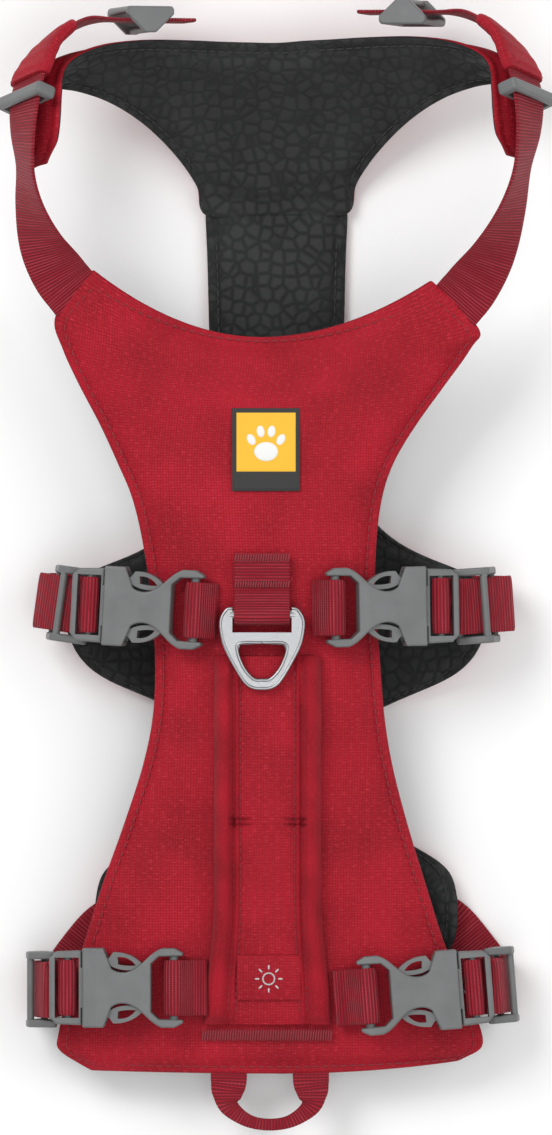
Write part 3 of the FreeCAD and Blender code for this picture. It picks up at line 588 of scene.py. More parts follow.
def stitch_row(name, start, end, normal, thick=0.34, rise=0.15, material=None):
    """Stitches: one small six-sided lozenge from each start to each end, tapering at both ends."""
    start, end, normal = (np.asarray(v, float) for v in (start, end, normal))
    along = unit(end - start)
    normal = unit(normal - along * (normal * along).sum(1, keepdims=True))
    side = np.cross(normal, along)
    a = np.arange(6) * np.pi / 3
    around = side[:, None] * np.cos(a)[None, :, None] + normal[:, None] * np.sin(a)[None, :, None]
    rings = []
    for t, r in ((0.0, 0.35), (0.2, 0.9), (0.8, 0.9), (1.0, 0.35)):
        arch = normal * (rise * 4 * t * (1 - t))
        centre = start + (end - start) * t + arch
        rings.append(centre[:, None] + around * (thick * r))
    rings = np.stack(rings, 1)
    count = len(start)
    body = quads(4, 6, True)
    caps = np.array([(0, 5, 4, 3), (0, 3, 2, 1), (18, 19, 20, 21), (18, 21, 22, 23)])
    one = np.concatenate([body, caps])
    faces = (one[None] + (np.arange(count) * 24)[:, None, None]).reshape(-1, 4)
    points = rings.reshape(-1, 3)
    return make_mesh(name, points, faces, points[faces][:, :, :2], [material or THREAD])


def sew(name, points, normals, pitch=3.3, thick=0.34, share=0.8, material=None):
    """A row of stitches along a path, standing on its normals: each covers a share of its pitch."""
    run = np.concatenate([[0], np.cumsum(np.linalg.norm(np.diff(points, axis=0), axis=1))])
    starts = np.arange(0.5, run[-1] - pitch, pitch)

    def read(at, of):
        return np.stack([np.interp(at, run, of[:, i]) for i in range(3)], 1)
    return stitch_row(name, read(starts, points), read(starts + pitch * share, points), read(starts, normals),
                      thick, material=material)


def join(name, pieces):
    """Several finished meshes made one object."""
    with bpy.context.temp_override(active_object=pieces[0], selected_editable_objects=pieces,
                                   selected_objects=pieces):
        bpy.ops.object.join()
    pieces[0].name = pieces[0].data.name = name
    return pieces[0]


def belongs(piece, body, slot, *stands_for):
    """Fix a piece to its body and hide the CAD nodes it stands for; slot is not used."""
    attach(piece, body)
    if stands_for:
        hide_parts(*stands_for)


def slab(name, top, thickness, materials, edge=0.5):
    """A thin closed sheet under a grid of points on its top, its edges rounded down."""
    normal = grid_normals(top)
    near = edge_distance(top)
    fall = thickness * 0.5 * (1 - np.sqrt(np.clip(near / edge, 0.0, 1)))
    upper, lower = top - normal * fall[..., None], top - normal * (thickness - fall)[..., None]
    flat = np.stack(np.broadcast_arrays(lengths(top, 0)[:, None], lengths(top, 1)[None]), -1)
    return two_skins(name, upper, lower, flat, materials)


# ---------------------------------------------------------------- the cut patterns as surfaces
def read_rows(rows, marks, run):
    """A pattern's rows read at a distance along it: marks holds each row's own distance."""
    at = np.interp(run, marks, np.arange(len(rows)))
    return through(rows, at.ravel()).reshape(run.shape + rows.shape[1:])


def run_of(points):
    return np.concatenate([[0], np.cumsum(np.linalg.norm(np.diff(points, axis=0), axis=1))])


BACK_RUN = run_of(BACK_ROWS[:, [4, 5]]) * 0.5
BACK_RUN = BACK_RUN + run_of(BACK_ROWS[:, [0, 1]]) * 0.25 + run_of(BACK_ROWS[:, [2, 3]]) * 0.25
BELLY_DOWN = BELLY_ROWS[::-1]
BELLY_RUN = BELLY_DOWN[0, 0] - BELLY_DOWN[:, 0]


def back_face(across, run):
    """The back panel's upper face, a shallow arch: it falls with the square of the distance from its middle.

    across is 0 at the left edge and 1 at the right, run is the distance from the neck.
    """
    across, run = np.broadcast_arrays(np.asarray(across, float), np.asarray(run, float))
    lx, ly, rx, ry, my, mz, ez = np.moveaxis(read_rows(BACK_ROWS, BACK_RUN, run), -1, 0)
    side = (2 * across - 1) ** 2
    y = my + (np.where(across < 0.5, ly, ry) - my) * side
    return np.stack([lx + (rx - lx) * across, y, mz + (ez - mz) * side], -1)


def back_place(x, y, lift=0.0):
    """The point above (x, y) at a height over the back panel's upper face."""
    x, y = np.broadcast_arrays(np.asarray(x, float), np.asarray(y, float))
    run = np.interp(-y, -BACK_ROWS[:, 4], BACK_RUN)
    for _ in range(8):
        row = read_rows(BACK_ROWS, BACK_RUN, run)
        across = (x - row[..., 0]) / (row[..., 2] - row[..., 0])
        run = np.clip(run + back_face(across, run)[..., 1] - y, 0, BACK_RUN[-1])
    return np.stack([x, y, back_face(across, run)[..., 2] + lift], -1)


def belly_face(across, run):
    """The belly panel's lower face: flat on the floor, its wings curling up as the square of the distance.

    Its neck end slopes up inside the yoke.
    """
    across, run = np.broadcast_arrays(np.asarray(across, float), np.asarray(run, float))
    y, half, lift = np.moveaxis(read_rows(BELLY_DOWN, BELLY_RUN, run), -1, 0)
    x = half * (2 * across - 1)
    past = np.clip(np.abs(x) - FLAT_HALF, 0, None) / np.maximum(half - FLAT_HALF, 1.0)
    return np.stack([CHEST_X + x, y, lift * past ** 2 + 0.15 * np.clip(y - 126.0, 0, None)], -1)


def yoke_pattern():
    forward = 1 - np.arange(len(YOKE_LEFT))[::-1] / (len(YOKE_LEFT) - 1) * 0.8
    right = YOKE_LEFT[::-1] * np.array([-1, 1, 1, -1, 1, 1])
    right = right + np.array([2 * CHEST_X, 0, 0, 2 * CHEST_X, 0, 0])
    right[:, [1, 4]] += RIGHT_ARM_FORWARD * forward[:, None]
    return np.concatenate([YOKE_LEFT, YOKE_MIDDLE, right])


YOKE_ROWS = yoke_pattern()
YOKE_RUN = run_of(YOKE_ROWS[:, 3:]) * 0.5 + run_of(YOKE_ROWS[:, :3]) * 0.5


def yoke_face(across, run):
    """The yoke's outer face: across is 0 on the hole's edge and 1 on the neck's; its section bellies out."""
    across, run = np.broadcast_arrays(np.asarray(across, float), np.asarray(run, float))
    row = read_rows(YOKE_ROWS, YOKE_RUN, run)
    ahead = read_rows(YOKE_ROWS, YOKE_RUN, np.clip(run + 2, 0, YOKE_RUN[-1]))
    behind = read_rows(YOKE_ROWS, YOKE_RUN, np.clip(run - 2, 0, YOKE_RUN[-1]))
    hole, neck = row[..., :3], row[..., 3:]
    out = -unit(np.cross(ahead[..., 3:] - behind[..., 3:], neck - hole))
    share = across[..., None]
    return hole + (neck - hole) * share + out * (YOKE_SAG * 4 * share * (1 - share))


def wave(grid, size, height):
    """Soft unevenness of a padded face: a sum of a few seeded sine waves of about one size."""
    flat = grid[..., :2]
    total = np.zeros(grid.shape[:-1])
    for way in RNG.normal(size=(6, 2)):
        total = total + np.sin(flat @ (way / size * 3.0) + RNG.uniform(0, 6.28))
    return total * height / 3.0


def cloth_grid(face, length, rows, columns, into, size=22.0, height=0.5):
    """A pattern's middle surface as a grid crowded towards its edges: its face moved into the panel."""
    run = crowded(rows, 0.35)[:, None] * length
    grid = face(crowded(columns, 0.35)[None], run)
    normal = grid_normals(grid)
    near = np.clip(edge_distance(grid) / 12.0, 0, 1)
    return grid + normal * (into + wave(grid, size, height) * near)[..., None]


def make_panels():
    """The three padded panels: graded middle surfaces, swollen by cloth simulation between their seams."""
    made = {}
    back = cloth_grid(back_face, BACK_RUN[-1], 126, 74, -PANEL_T / 2)
    belly = cloth_grid(belly_face, BELLY_RUN[-1], 110, 56, CHEST_T / 2, height=0.3)
    yoke = cloth_grid(yoke_face, YOKE_RUN[-1], 130, 36, CHEST_T / 2, height=0.3)
    inner = (LINING, DARK_BINDING, RIPSTOP)
    beside_belly = 40 * smooth((28 - np.abs(yoke[:, :1, 0] - CHEST_X)) / 5)
    for name, grid, thick, skins, joined, nodes, fill in (
            ("back_pad", back, PANEL_T - 0.7, (RIPSTOP, BINDING, LINING), (0, 0, 0, 0), "back", 0.7),
            ("belly_pad", belly, CHEST_T - 0.6, inner, (40, 0, 0, 0), "belly", 0.6),
            ("yoke_pad", yoke, CHEST_T - 0.6, inner, (0, 0, beside_belly, 0), "yoke", 0.6)):
        piece, near = panel(name, grid, thick, EDGE_T, PADDED_FROM, HEM, skins, joined)
        where = np.concatenate([grid.reshape(-1, 3)] * 2)
        still = near < 5.0
        if nodes == "back":
            still |= (np.abs(where[:, 0] + 1) < 36) & (where[:, 1] < 60)
            still |= (np.abs(where[:, 1] + 15) < 18) | (np.abs(where[:, 1] + 152) < 20)
        else:
            still |= (where[:, 2] < 6) & (np.arange(len(where)) >= len(where) // 2)
            still |= where[:, 1] < 12 if nodes == "belly" else False
            still |= (where[:, 1] < 134) & (where[:, 1] > 120) & (np.abs(where[:, 0] - CHEST_X) < 30)
        puff(piece, still, MOST_SWELL)
        piece.modifiers.new("Subdivision", "SUBSURF").levels = 1
        piece.modifiers["Subdivision"].render_levels = 1
        belongs(piece, "harness", "face_fabric", f"{nodes}_face", f"{nodes}_foam", f"{nodes}_lining")
        made[nodes] = piece
    return made


def seam_path(face, length, width_at, inset, lift):
    """A closed path at a distance inside a pattern's edge, lifted off its face, with its normals."""
    s = np.linspace(0, 1, 240)
    low, high = inset / length, 1 - inset / length
    edge = inset / width_at(s * length)
    run = (low + (high - low) * s) * length
    first, last = edge[0], edge[-1]
    across = np.concatenate([edge, last + (1 - 2 * last) * s, 1 - edge[::-1],
                             1 - first - (1 - 2 * first) * s])
    along = np.concatenate([run, np.full_like(s, high * length), run[::-1], np.full_like(s, low * length)])
    points = face(across, along)
    du = face(across, np.clip(along + 1, 0, length)) - face(across, np.clip(along - 1, 0, length))
    dv = face(np.clip(across + 0.01, 0, 1), along) - face(np.clip(across - 0.01, 0, 1), along)
    normal = unit(np.cross(du, dv))
    return points + normal * lift, normal


def width_of(rows, marks, left, right):
    gap = np.linalg.norm(rows[:, right] - rows[:, left], axis=1)
    return lambda run: np.interp(run, marks, gap)


def without(path, hidden):
    """The longest unbroken stretch of a closed path and its normals that a test on its points leaves out."""
    points, normals = path
    kept = ~hidden(points)
    first = (np.flatnonzero(kept & ~np.roll(kept, 1))[0]) if not kept.all() else 0
    kept = np.roll(kept, -first)
    points, normals = np.roll(points, -first, 0), np.roll(normals, -first, 0)
    return points[kept], normals[kept]


def make_seams():
    """The topstitching round the back panel, and the stitching along the chest pieces' edges."""
    wide = width_of(BACK_ROWS, BACK_RUN, [0, 1], [2, 3])
    hem = sew("hem_stitches", *seam_path(back_face, BACK_RUN[-1], wide, HEM, IN_HEM))
    wide = width_of(YOKE_ROWS, YOKE_RUN, [0, 1, 2], [3, 4, 5])
    path = seam_path(yoke_face, YOKE_RUN[-1], wide, HEM, ON_LINING)
    beside = without(path, lambda p: (p[:, 1] < 140) & (np.abs(p[:, 0] - CHEST_X) < 31))
    rows = [sew("seam", *beside, material=DARK_THREAD)]

    def belly_wide(run):
        return 2 * np.interp(run, BELLY_RUN, BELLY_DOWN[:, 1])
    path = seam_path(belly_face, BELLY_RUN[-1], belly_wide, HEM, ON_LINING)
    rows.append(sew("seam", *without(path, lambda p: p[:, 1] > 121), material=DARK_THREAD))
    for piece in (hem, join("lining_stitches", rows)):
        belongs(piece, "harness", "thread")


# ---------------------------------------------------------------- webbing
BUCKLES = {  # socket end x, y, z, turn in plan, droop
    "front_left": (-1, -24.5, -15.2, 46.8, -3.0, 11.0), "front_right": (1, 19.3, -14.2, 46.6, 1.0, 10.0),
    "rear_left": (-1, -31.8, -150.2, 36.4, 0.0, 4.0), "rear_right": (1, 31.0, -153.4, 36.2, 4.5, 4.0)}
SLIDERS = {
    "front_left": (-1, -73.8, -12.9, 27.7, -8.0, 38.0), "front_right": (1, 74.6, -13.4, 28.6, 4.0, 31.0),
    "rear_left": (-1, -83.4, -151.2, 19.2, 0.0, 76.0), "rear_right": (1, 82.9, -149.6, 19.2, 4.5, 76.0)}
ROUTES = {"front_left": (-4.0, (0,), 4.4), "front_right": (-7.4, (0,), 4.4),
          "rear_left": (-7.4, (0, 30, 60), 3.6), "rear_right": (-7.4, (0, 30, 60), 3.6)}
RUN_POINTS = {  # distance from the centre line, forward of the slider, height
    "front": ((80.0, 0.0, 10.6), (72.0, 0.0, 8.4), (64.0, 0.0, 5.3), (57.0, 0.0, 2.9)),
    "rear": ((76.0, 3.0, 2.8), (70.0, 11.0, 2.6), (63.0, 19.5, 2.4), (57.0, 24.0, 1.4))}
ANCHOR_RUNS = {"front": (6.0, 8.0), "rear": (7.0, 12.0)}
SOCKET_BAR, PLUG_BAR = (3.4, 1.6), (41.6, 1.3)
LAYER = WEB_T / 2 + 0.1
END_BAR_DROP = 3.4
BAR_GAP = 0.4 + WEB_T / 2 + 0.15  # from a bar to the middle of the webbing round it


class Place:
    """A buckle's or slider's own axes: x outward along the strap, y across it, z off its outer face."""

    def __init__(self, side, x, y, z, turn, droop):
        yaw, pitch = np.radians(turn if side > 0 else 180 + turn), np.radians(droop)
        about_z = np.array([[np.cos(yaw), -np.sin(yaw), 0], [np.sin(yaw), np.cos(yaw), 0], [0, 0, 1]])
        about_y = np.array([[np.cos(pitch), 0, np.sin(pitch)], [0, 1, 0], [-np.sin(pitch), 0, np.cos(pitch)]])
        self.turned, self.origin = about_z @ about_y, np.array([x, y, z])

    def at(self, x, z, y=0.0):
        return self.origin + self.turned @ np.array([x, y, z])

    def back(self, point):
        return self.turned.T @ (point - self.origin)

    @property
    def across(self):
        return self.turned[:, 1]


def station(point, across):
    return np.concatenate([point, across])


def bar_turn(place, bar, start, end, count=9):
    """Stations round a buckle's bar, from one angle to another in degrees."""
    x, radius = bar
    reach = radius + BAR_GAP
    return [station(place.at(x + reach * np.cos(a), reach * np.sin(a)), place.across)
            for a in np.radians(np.linspace(start, end, count))]


def make_anchor(name):
    """The loop that holds a socket: out over the panel, round the bar, and back on itself."""
    place = Place(*BUCKLES[name])
    reach = SOCKET_BAR[1] + BAR_GAP
    inward = -place.turned[:, 0]
    flat = unit(np.array([inward[0], inward[1], 0.0]))
    low, high = [], []
    for run in ANCHOR_RUNS[name.split("_")[0]]:
        p = place.at(SOCKET_BAR[0], 0.0) + flat * run
        floor = back_place(p[0], p[1] + np.array([-9.0, 0.0, 9.0]))[:, 2].max() + 0.2
        low.append(station([p[0], p[1], floor + WEB_T / 2 + 0.1], place.across))
        high.append(station([p[0], p[1], floor + WEB_T * 1.5 + 0.3], place.across))
    turn = bar_turn(place, SOCKET_BAR, -90, 90)
    before = station(place.at(SOCKET_BAR[0] - 1.6, -reach), place.across)
    after = station(place.at(SOCKET_BAR[0] - 1.6, reach), place.across)
    piece = webbing(f"anchor_webbing_{name}", low[::-1] + [before] + turn + [after] + high)
    belongs(piece, "harness", "webbing", f"anchor_{name}")


def make_girth_loop(name):
    """Doubled webbing from the slider round the plug's bar, its layers bent over the slider's end bar."""
    mouth, bends, depth = ROUTES[name]
    plug, slide = Place(*BUCKLES[name]), Place(*SLIDERS[name])

    def beside_end_bar(height, bend):
        radius, a = END_BAR_DROP + height, np.radians(bend)
        return slide.at(mouth - radius * np.sin(a), radius * np.cos(a) - END_BAR_DROP)

    x, radius = PLUG_BAR
    reach = radius + BAR_GAP
    outer = np.array([x + reach + 0.4, -depth])
    run = plug.back(beside_end_bar(LAYER, bends[-1]))[[0, 2]] - outer
    run = unit(run)
    inner = outer + np.array([run[1], -run[0]]) * (WEB_T + 0.3)
    away = np.hypot(inner[0] - x, inner[1])
    start = 360 + np.degrees(np.arctan2(inner[1], inner[0] - x) - np.arccos(reach / away))
    stations = [station(slide.at(s, -LAYER), slide.across) for s in (9.5, 5.0, 0.0)]
    stations += [station(beside_end_bar(-LAYER, bend), slide.across) for bend in bends]
    stations.append(station(plug.at(*inner), plug.across))
    stations += bar_turn(plug, PLUG_BAR, start, 0)
    stations.append(station(plug.at(x + reach, -1.5), plug.across))
    stations.append(station(plug.at(*outer), plug.across))
    stations += [station(beside_end_bar(LAYER, bend), slide.across) for bend in bends[::-1]]
    ends = ((2.0, LAYER), (6.0, LAYER), (10.5, LAYER), (13.0, 0.2), (14.2, -2.0), (14.6, -4.0))
    stations += [station(slide.at(s, h), slide.across) for s, h in ends]
    piece = webbing(f"girth_webbing_{name}", stations, step=0.8)
    belongs(piece, f"plug_{name}", "webbing", f"girth_loop_{name}")


def make_girth_run(name):
    """The strap from below the slider, in under the belly panel's wing."""
    place = Place(*SLIDERS[name])
    side = SLIDERS[name][0]
    start = place.at(14.6, -5.0)
    points = np.array([(CHEST_X + side * reach, start[1] + forward, height)
                       for reach, forward, height in RUN_POINTS[name.split("_")[0]]])
    along = np.concatenate([points[1:2] - points[:1], points[2:] - points[:-2], points[-1:] - points[-2:-1]])
    stations = [station(start, place.across), station(place.at(14.6, -7.1), place.across)]
    stations += [station(point, (way[1], -way[0], 0.0)) for point, way in zip(points, along)]
    piece = webbing(f"girth_run_webbing_{name}", stations)
    belongs(piece, "harness", "webbing", f"girth_run_{name}")


def neck_stations(side):
    """The neck strap's stations: the right one is mirrored, and its shoulder end shifted."""
    if side < 0:
        return NECK_STRAP
    k = np.arange(len(NECK_STRAP))[:, None]
    out = NECK_STRAP * np.array([-1, 1, 1, -1, 1, 1]) + np.array([2 * CHEST_X, 0, 0, 0, 0, 0])
    out[:, 1:2] += RIGHT_ARM_FORWARD * smooth(k / (len(k) - 1))
    out[:, :3] += RIGHT_SHOULDER_SHIFT * smooth(np.maximum(0.0, 1 - k / 6))
    return out


def make_neck_strap(name, side):
    """The neck strap, and its sleeve beyond the guide ring with a shallow groove near each end."""
    stations = neck_stations(side)
    tucked = stations[:1].copy()
    tucked[0, :3] -= unit(stations[1, :3] - stations[0, :3]) * 6.0
    strap = webbing(f"neck_webbing_{name}", np.concatenate([tucked, stations]))
    belongs(strap, "harness", "webbing", f"neck_strap_{name}")
    at = np.linspace(6.8, 8.58, 34)
    path = through(stations, at)
    t = np.linspace(0, 1, 34)
    across, out = frames(path)
    a = np.linspace(0, 2 * np.pi, 41)[:-1]
    fat = 1 - 0.10 * np.exp(-(t / 0.05) ** 2) - 0.10 * np.exp(-((1 - t) / 0.05) ** 2)
    bulge = 2.55 * fat - 0.35 * np.exp(-((t - 0.09) / 0.02) ** 2) - 0.35 * np.exp(-((t - 0.91) / 0.02) ** 2)
    flat = 12.1 * np.abs(np.cos(a)) ** 0.45 * np.sign(np.cos(a))
    high = np.abs(np.sin(a)) ** 0.7 * np.sign(np.sin(a))
    ripple = 1 + 0.05 * np.sin(9 * t[:, None] * np.pi + 2 * a[None])
    rings = (path[:, None, :3] + across[:, None] * (fat[:, None] * flat[None])[..., None]
             + out[:, None] * (bulge[:, None] * high[None] * ripple)[..., None])
    sleeve = tube(f"strap_sleeve_{name}", rings, [RIPSTOP])
    belongs(sleeve, "harness", "face_fabric", f"keeper_{name}")


def make_ring_webbing():
    """The leash ring's webbing, round its bar and forward over the panel, doubled."""
    z = ring_height()
    reach = 1.8 + BAR_GAP
    turn = [station([RING_X, RING_Y + reach * np.cos(a), z + reach * np.sin(a)], [1.0, 0, 0])
            for a in np.radians(np.linspace(-90, -270, 9))]
    low, high = [], []
    for run in (7.0, 13.0, 21.0):
        floor = float(back_place(RING_X, RING_Y + run)[2]) + 0.6
        low.append(station([RING_X, RING_Y + run, floor + WEB_T / 2], [1.0, 0, 0]))
        high.append(station([RING_X, RING_Y + run, floor + WEB_T * 1.5 + 0.2], [1.0, 0, 0]))
    piece = webbing("ring_strap", low[::-1] + turn + high)
    belongs(piece, "harness", "webbing", "ring_webbing")


def ring_height():
    low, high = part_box("leash_ring")
    return (low[2] + high[2]) / 2 / MM


# ---------------------------------------------------------------- pieces sewn on the back panel
def handle_section(v):
    """Half profile heights of the handle: a low middle panel, a piping ridge, then a full padded roll."""
    knots = np.array([(0.0, 3.3), (0.30, 3.5), (0.49, 3.2), (0.545, 4.8), (0.575, 5.0), (0.605, 4.1),
                      (0.63, 3.1), (0.67, 4.9), (0.74, 6.7), (0.81, 7.2), (0.90, 6.4), (0.965, 4.4), (1.0, 1.6)])
    return np.interp(v, knots[:, 0], knots[:, 1])


def handle_half(name, front, rear, tongue=0.0):
    """Half of the handle: the padded section carried along the panel, closed underneath by a flat strip.

    A tongue at its front end reaches under the other half.
    """
    y = np.linspace(front + tongue, rear, int(abs(front - rear) / 0.9))
    y = np.concatenate([y[:1], y[:1] - 0.02, y[1:-1], y[-1:] + 0.02, y[-1:]])
    head = np.sqrt(np.clip((HANDLE_FRONT - y) / 6.0, 0.03, 1)) if front > -60 else np.ones_like(y)
    tail = np.sqrt(np.clip((y - HANDLE_REAR) / 3.0, 0.2, 1)) if rear < -120 else np.ones_like(y)
    under_other = np.where(y > front + 0.05 if tongue else y > 0, 1.0, 0.0)
    v = np.linspace(-1, 1, 101)
    x = HANDLE_X + v[None] * (handle_reach(y) - 0.05 * under_other)[:, None]
    high = handle_section(np.abs(v))[None] * (handle_flatten(y) * head * tail * handle_swell(y))[:, None]
    high = high * (1 - 0.26 * np.exp(-((y[:, None] + 37) / 8) ** 2) * (np.abs(v) < 0.62))
    ruck = 0.16 * np.sin(y[:, None] * 2.2 + 3 * v[None]) * np.exp(-((np.abs(v[None]) - 0.6) / 0.05) ** 2)
    ruck = ruck * np.clip(np.abs(y[:, None] - HANDLE_MIDDLE) / 5 - 0.5, 0, 1)
    top = back_place(x, np.broadcast_to(y[:, None], x.shape), 0.0)
    over, under = top.copy(), top.copy()
    over[..., 2] += HANDLE_FLOAT + np.maximum(high + ruck, 0.8) - 0.06 * under_other[:, None]
    under[..., 2] += 0.65 + 0.03 * under_other[:, None]
    rings = np.concatenate([over[:, ::-1], under[:, 1:-1]], axis=1)
    around = np.concatenate([np.abs(v[::-1]), np.ones(99)])
    which = np.where((around < 0.52), 0, 1)
    return tube(name, rings, [RIPSTOP, ROLL], which, HANDLE_FRONT - front - tongue)


def handle_reach(y):
    """The handle's half width, which flares towards its rear end."""
    return HANDLE_HALF * (1 + 0.17 * smooth((-118 - y) / 44))


def handle_flatten(y):
    """How far the padding is pressed flat towards the rear end."""
    return 1 - 0.45 * smooth((-128 - y) / 34)


def handle_swell(y):
    return 1 + 0.03 * np.sin(y / 7.0) + 0.02 * np.sin(y / 2.9 + 1)


def handle_stitches(name, front, rear):
    """The stitch rows along both sides of each roll's seam, on one half of the handle."""
    rows = []
    for share in (-0.628, -0.505, 0.505, 0.628):
        y = np.linspace(front, rear, 60)
        x = HANDLE_X + share * handle_reach(y)
        points = back_place(x, y)
        points[:, 2] += HANDLE_FLOAT + handle_section(abs(share)) * handle_flatten(y) * handle_swell(y) + 0.1
        rows.append(sew("row", points, np.tile([0.0, 0.0, 1.0], (60, 1)), pitch=2.6, thick=0.26))
    return join(name, rows)


def make_handle():
    """The lifting handle in two halves, each sewn to the panel at its end and free in the middle."""
    front = handle_half("handle_front_half", HANDLE_FRONT, HANDLE_MIDDLE)
    rear = handle_half("handle_rear_half", HANDLE_MIDDLE, HANDLE_REAR, 2.0)
    front_rows = handle_stitches("handle_front_stitches", HANDLE_FRONT - 5, HANDLE_MIDDLE)
    rear_rows = handle_stitches("handle_rear_stitches", HANDLE_MIDDLE - 0.5, HANDLE_REAR + 4)
    for piece in (front, front_rows):
        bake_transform(piece)
    for piece in (rear, rear_rows):
        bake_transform(piece)
    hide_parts("handle_grip", "handle_front_end")
    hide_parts("handle_rear_end")


def over_handle(x, y):
    """The handle's top above (x, y), near its rear end."""
    return HANDLE_FLOAT + handle_section(np.abs(x - HANDLE_X) / handle_reach(y)) * handle_flatten(y)


def make_light_tab():
    """The webbing tab behind the handle's grip, with a small lamp sign: a ring and eight rays."""
    y = np.linspace(-138.5, -155.0, 40)
    x = np.linspace(-12.6, 10.2, 30)
    grid = back_place(x[None], y[:, None])
    belly = np.sin(np.pi * np.linspace(0, 1, 40))[:, None]
    grid[..., 2] += over_handle(np.full_like(x, HANDLE_X)[None], y[:, None]) + 1.3 + 0.8 * belly
    tab = slab("light_tab_webbing", grid, 1.3, [RIPSTOP])
    belongs(tab, "harness", "webbing", "light_tab")
    a = np.linspace(0, 2 * np.pi, 25)
    starts, ends = [], []
    centre = np.array([-1.2, -147.0])
    ring = centre + 2.1 * np.stack([np.cos(a), np.sin(a)], 1)
    starts.append(ring[:-1])
    ends.append(ring[1:])
    rays = np.arange(8) * np.pi / 4
    way = np.stack([np.cos(rays), np.sin(rays)], 1)
    starts.append(centre + 3.3 * way)
    ends.append(centre + 5.0 * way)
    starts, ends = np.concatenate(starts), np.concatenate(ends)

    def lifted(p):
        share = (-138.5 - p[:, 1]) / 16.5
        q = back_place(p[:, 0], p[:, 1])
        q[:, 2] += over_handle(np.full(len(p), HANDLE_X), p[:, 1]) + 1.35 + 0.8 * np.sin(np.pi * share)
        return q
    up = np.tile([0.0, 0.0, 1.0], (len(starts), 1))
    sign = stitch_row("light_sign", lifted(starts), lifted(ends), up, 0.36, 0.05, PALE_THREAD)
    belongs(sign, "harness", "thread")


def tack_block(left, right, low, high, top, thick=0.38, pitch=0.9):
    """Close zigzag stitches from low to high in y, standing pitch apart from left to right."""
    x = np.arange(left, right, pitch)
    up = np.tile([0.0, 0.0, 1.0], (len(x), 1))
    start, end = np.stack([x, np.full_like(x, low)], 1), np.stack([x + pitch / 2, np.full_like(x, high)], 1)
    return stitch_row("tack", top(start), top(end), up, thick, 0.25, TACK_THREAD)


def make_bar_tacks():
    """The bar tacks: two across the ring's webbing and a wide one that ends the handle."""
    def on_strap(p):
        q = back_place(p[:, 0], p[:, 1])
        q[:, 2] += 0.6 + WEB_T * 2 + 0.25
        return q

    def on_handle(p):
        q = back_place(p[:, 0], p[:, 1])
        q[:, 2] += 1.5
        return q
    pieces = [tack_block(RING_X - 9.6, RING_X + 9.6, 2.0, 5.4, on_strap),
              tack_block(RING_X - 9.6, RING_X + 9.6, -7.2, -4.4, on_strap),
              tack_block(-25.0, 21.5, -169.4, -165.2, on_handle)]
    tacks = join("bar_tack_stitches", pieces)
    belongs(tacks, "harness", "thread", "bar_tacks")


def pad_print(x, y, half_x, half_y, turn, lift, rise):
    """A low domed patch with an oval outline: height falls from the middle as a root of the distance."""
    r, a = np.linspace(0, 1, 8)[1:], np.linspace(0, 2 * np.pi, 33)[:-1]
    c, s = np.cos(turn), np.sin(turn)
    px, py = half_x * np.cos(a), half_y * np.sin(a)
    ox, oy = c * px - s * py, s * px + c * py
    top = back_place(x + r[::-1, None] * ox, y + r[::-1, None] * oy, lift)
    top[..., 2] += rise * (1 - r[::-1, None] ** 4)
    rings = np.concatenate([top[:1] - [0, 0, 0.25], top])
    return tube("print", rings, [LABEL_MOTIF])


def make_label():
    """A woven label: a dark border, a yellow field with a white paw, and a plain dark band below."""
    x0, x1, y0, y1 = -14.3, 10.0, 27.5, 57.1

    def patch(name, a, b, c, d, lift, thick, material):
        grid = back_place(np.linspace(a, b, 40)[None], np.linspace(d, c, 44)[:, None], lift)
        return slab(name, grid, thick, [material])
    ground = patch("label_ground", x0, x1, y0, y1, 0.95, 0.9, LABEL_BORDER)
    field = patch("label_field", x0 + 1.6, x1 - 1.6, y0 + 7.0, y1 - 1.6, 1.13, 0.35, LABEL_GROUND)
    cx, cy = (x0 + x1) / 2, 44.2
    paw = [pad_print(cx, cy - 2.6, 4.4, 3.5, 0.0, 1.1, 0.35)]
    for dx, dy, turn in ((-5.3, 1.7, 0.5), (-1.95, 4.6, 0.15), (1.95, 4.6, -0.15), (5.3, 1.7, -0.5)):
        paw.append(pad_print(cx + dx, cy + dy, 1.45, 2.15, turn, 1.1, 0.3))
    paw = join("label_paw", paw)
    for piece in (ground, field, paw):
        belongs(piece, "harness", "label")
    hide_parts("label")


def make_rear_loop():
    """The webbing bow behind the panel: wide flat legs that fold narrow where they meet."""
    z = sum(v[2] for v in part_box("rear_loop")) / 2 / MM
    half = np.array([(14.7, 3.0, 13.0, 1.6), (14.8, -0.5, 12.8, 1.6), (15.2, -4.6, 11.0, 1.7),
                     (14.3, -9.4, 6.8, 2.0), (7.8, -14.1, 4.7, 2.4), (0.0, -15.5, 4.3, 2.6)])
    x = np.concatenate([-half[:, 0], half[-2::-1, 0]]) - 0.8
    y = np.concatenate([half[:, 1], half[-2::-1, 1]]) - 184.2
    size = np.concatenate([half[:, 2:], half[-2::-1, 2:]])
    way = unit(np.gradient(np.stack([x, y], 1), axis=0))
    stations = np.stack([x, y, np.full_like(x, z), -way[:, 1], way[:, 0], np.zeros_like(x)], 1)
    piece = tube("rear_loop_webbing", strap_rings(stations, size[:, 0], size[:, 1], step=0.9), [WEBBING])
    belongs(piece, "rear_loop", "webbing", "rear_loop")


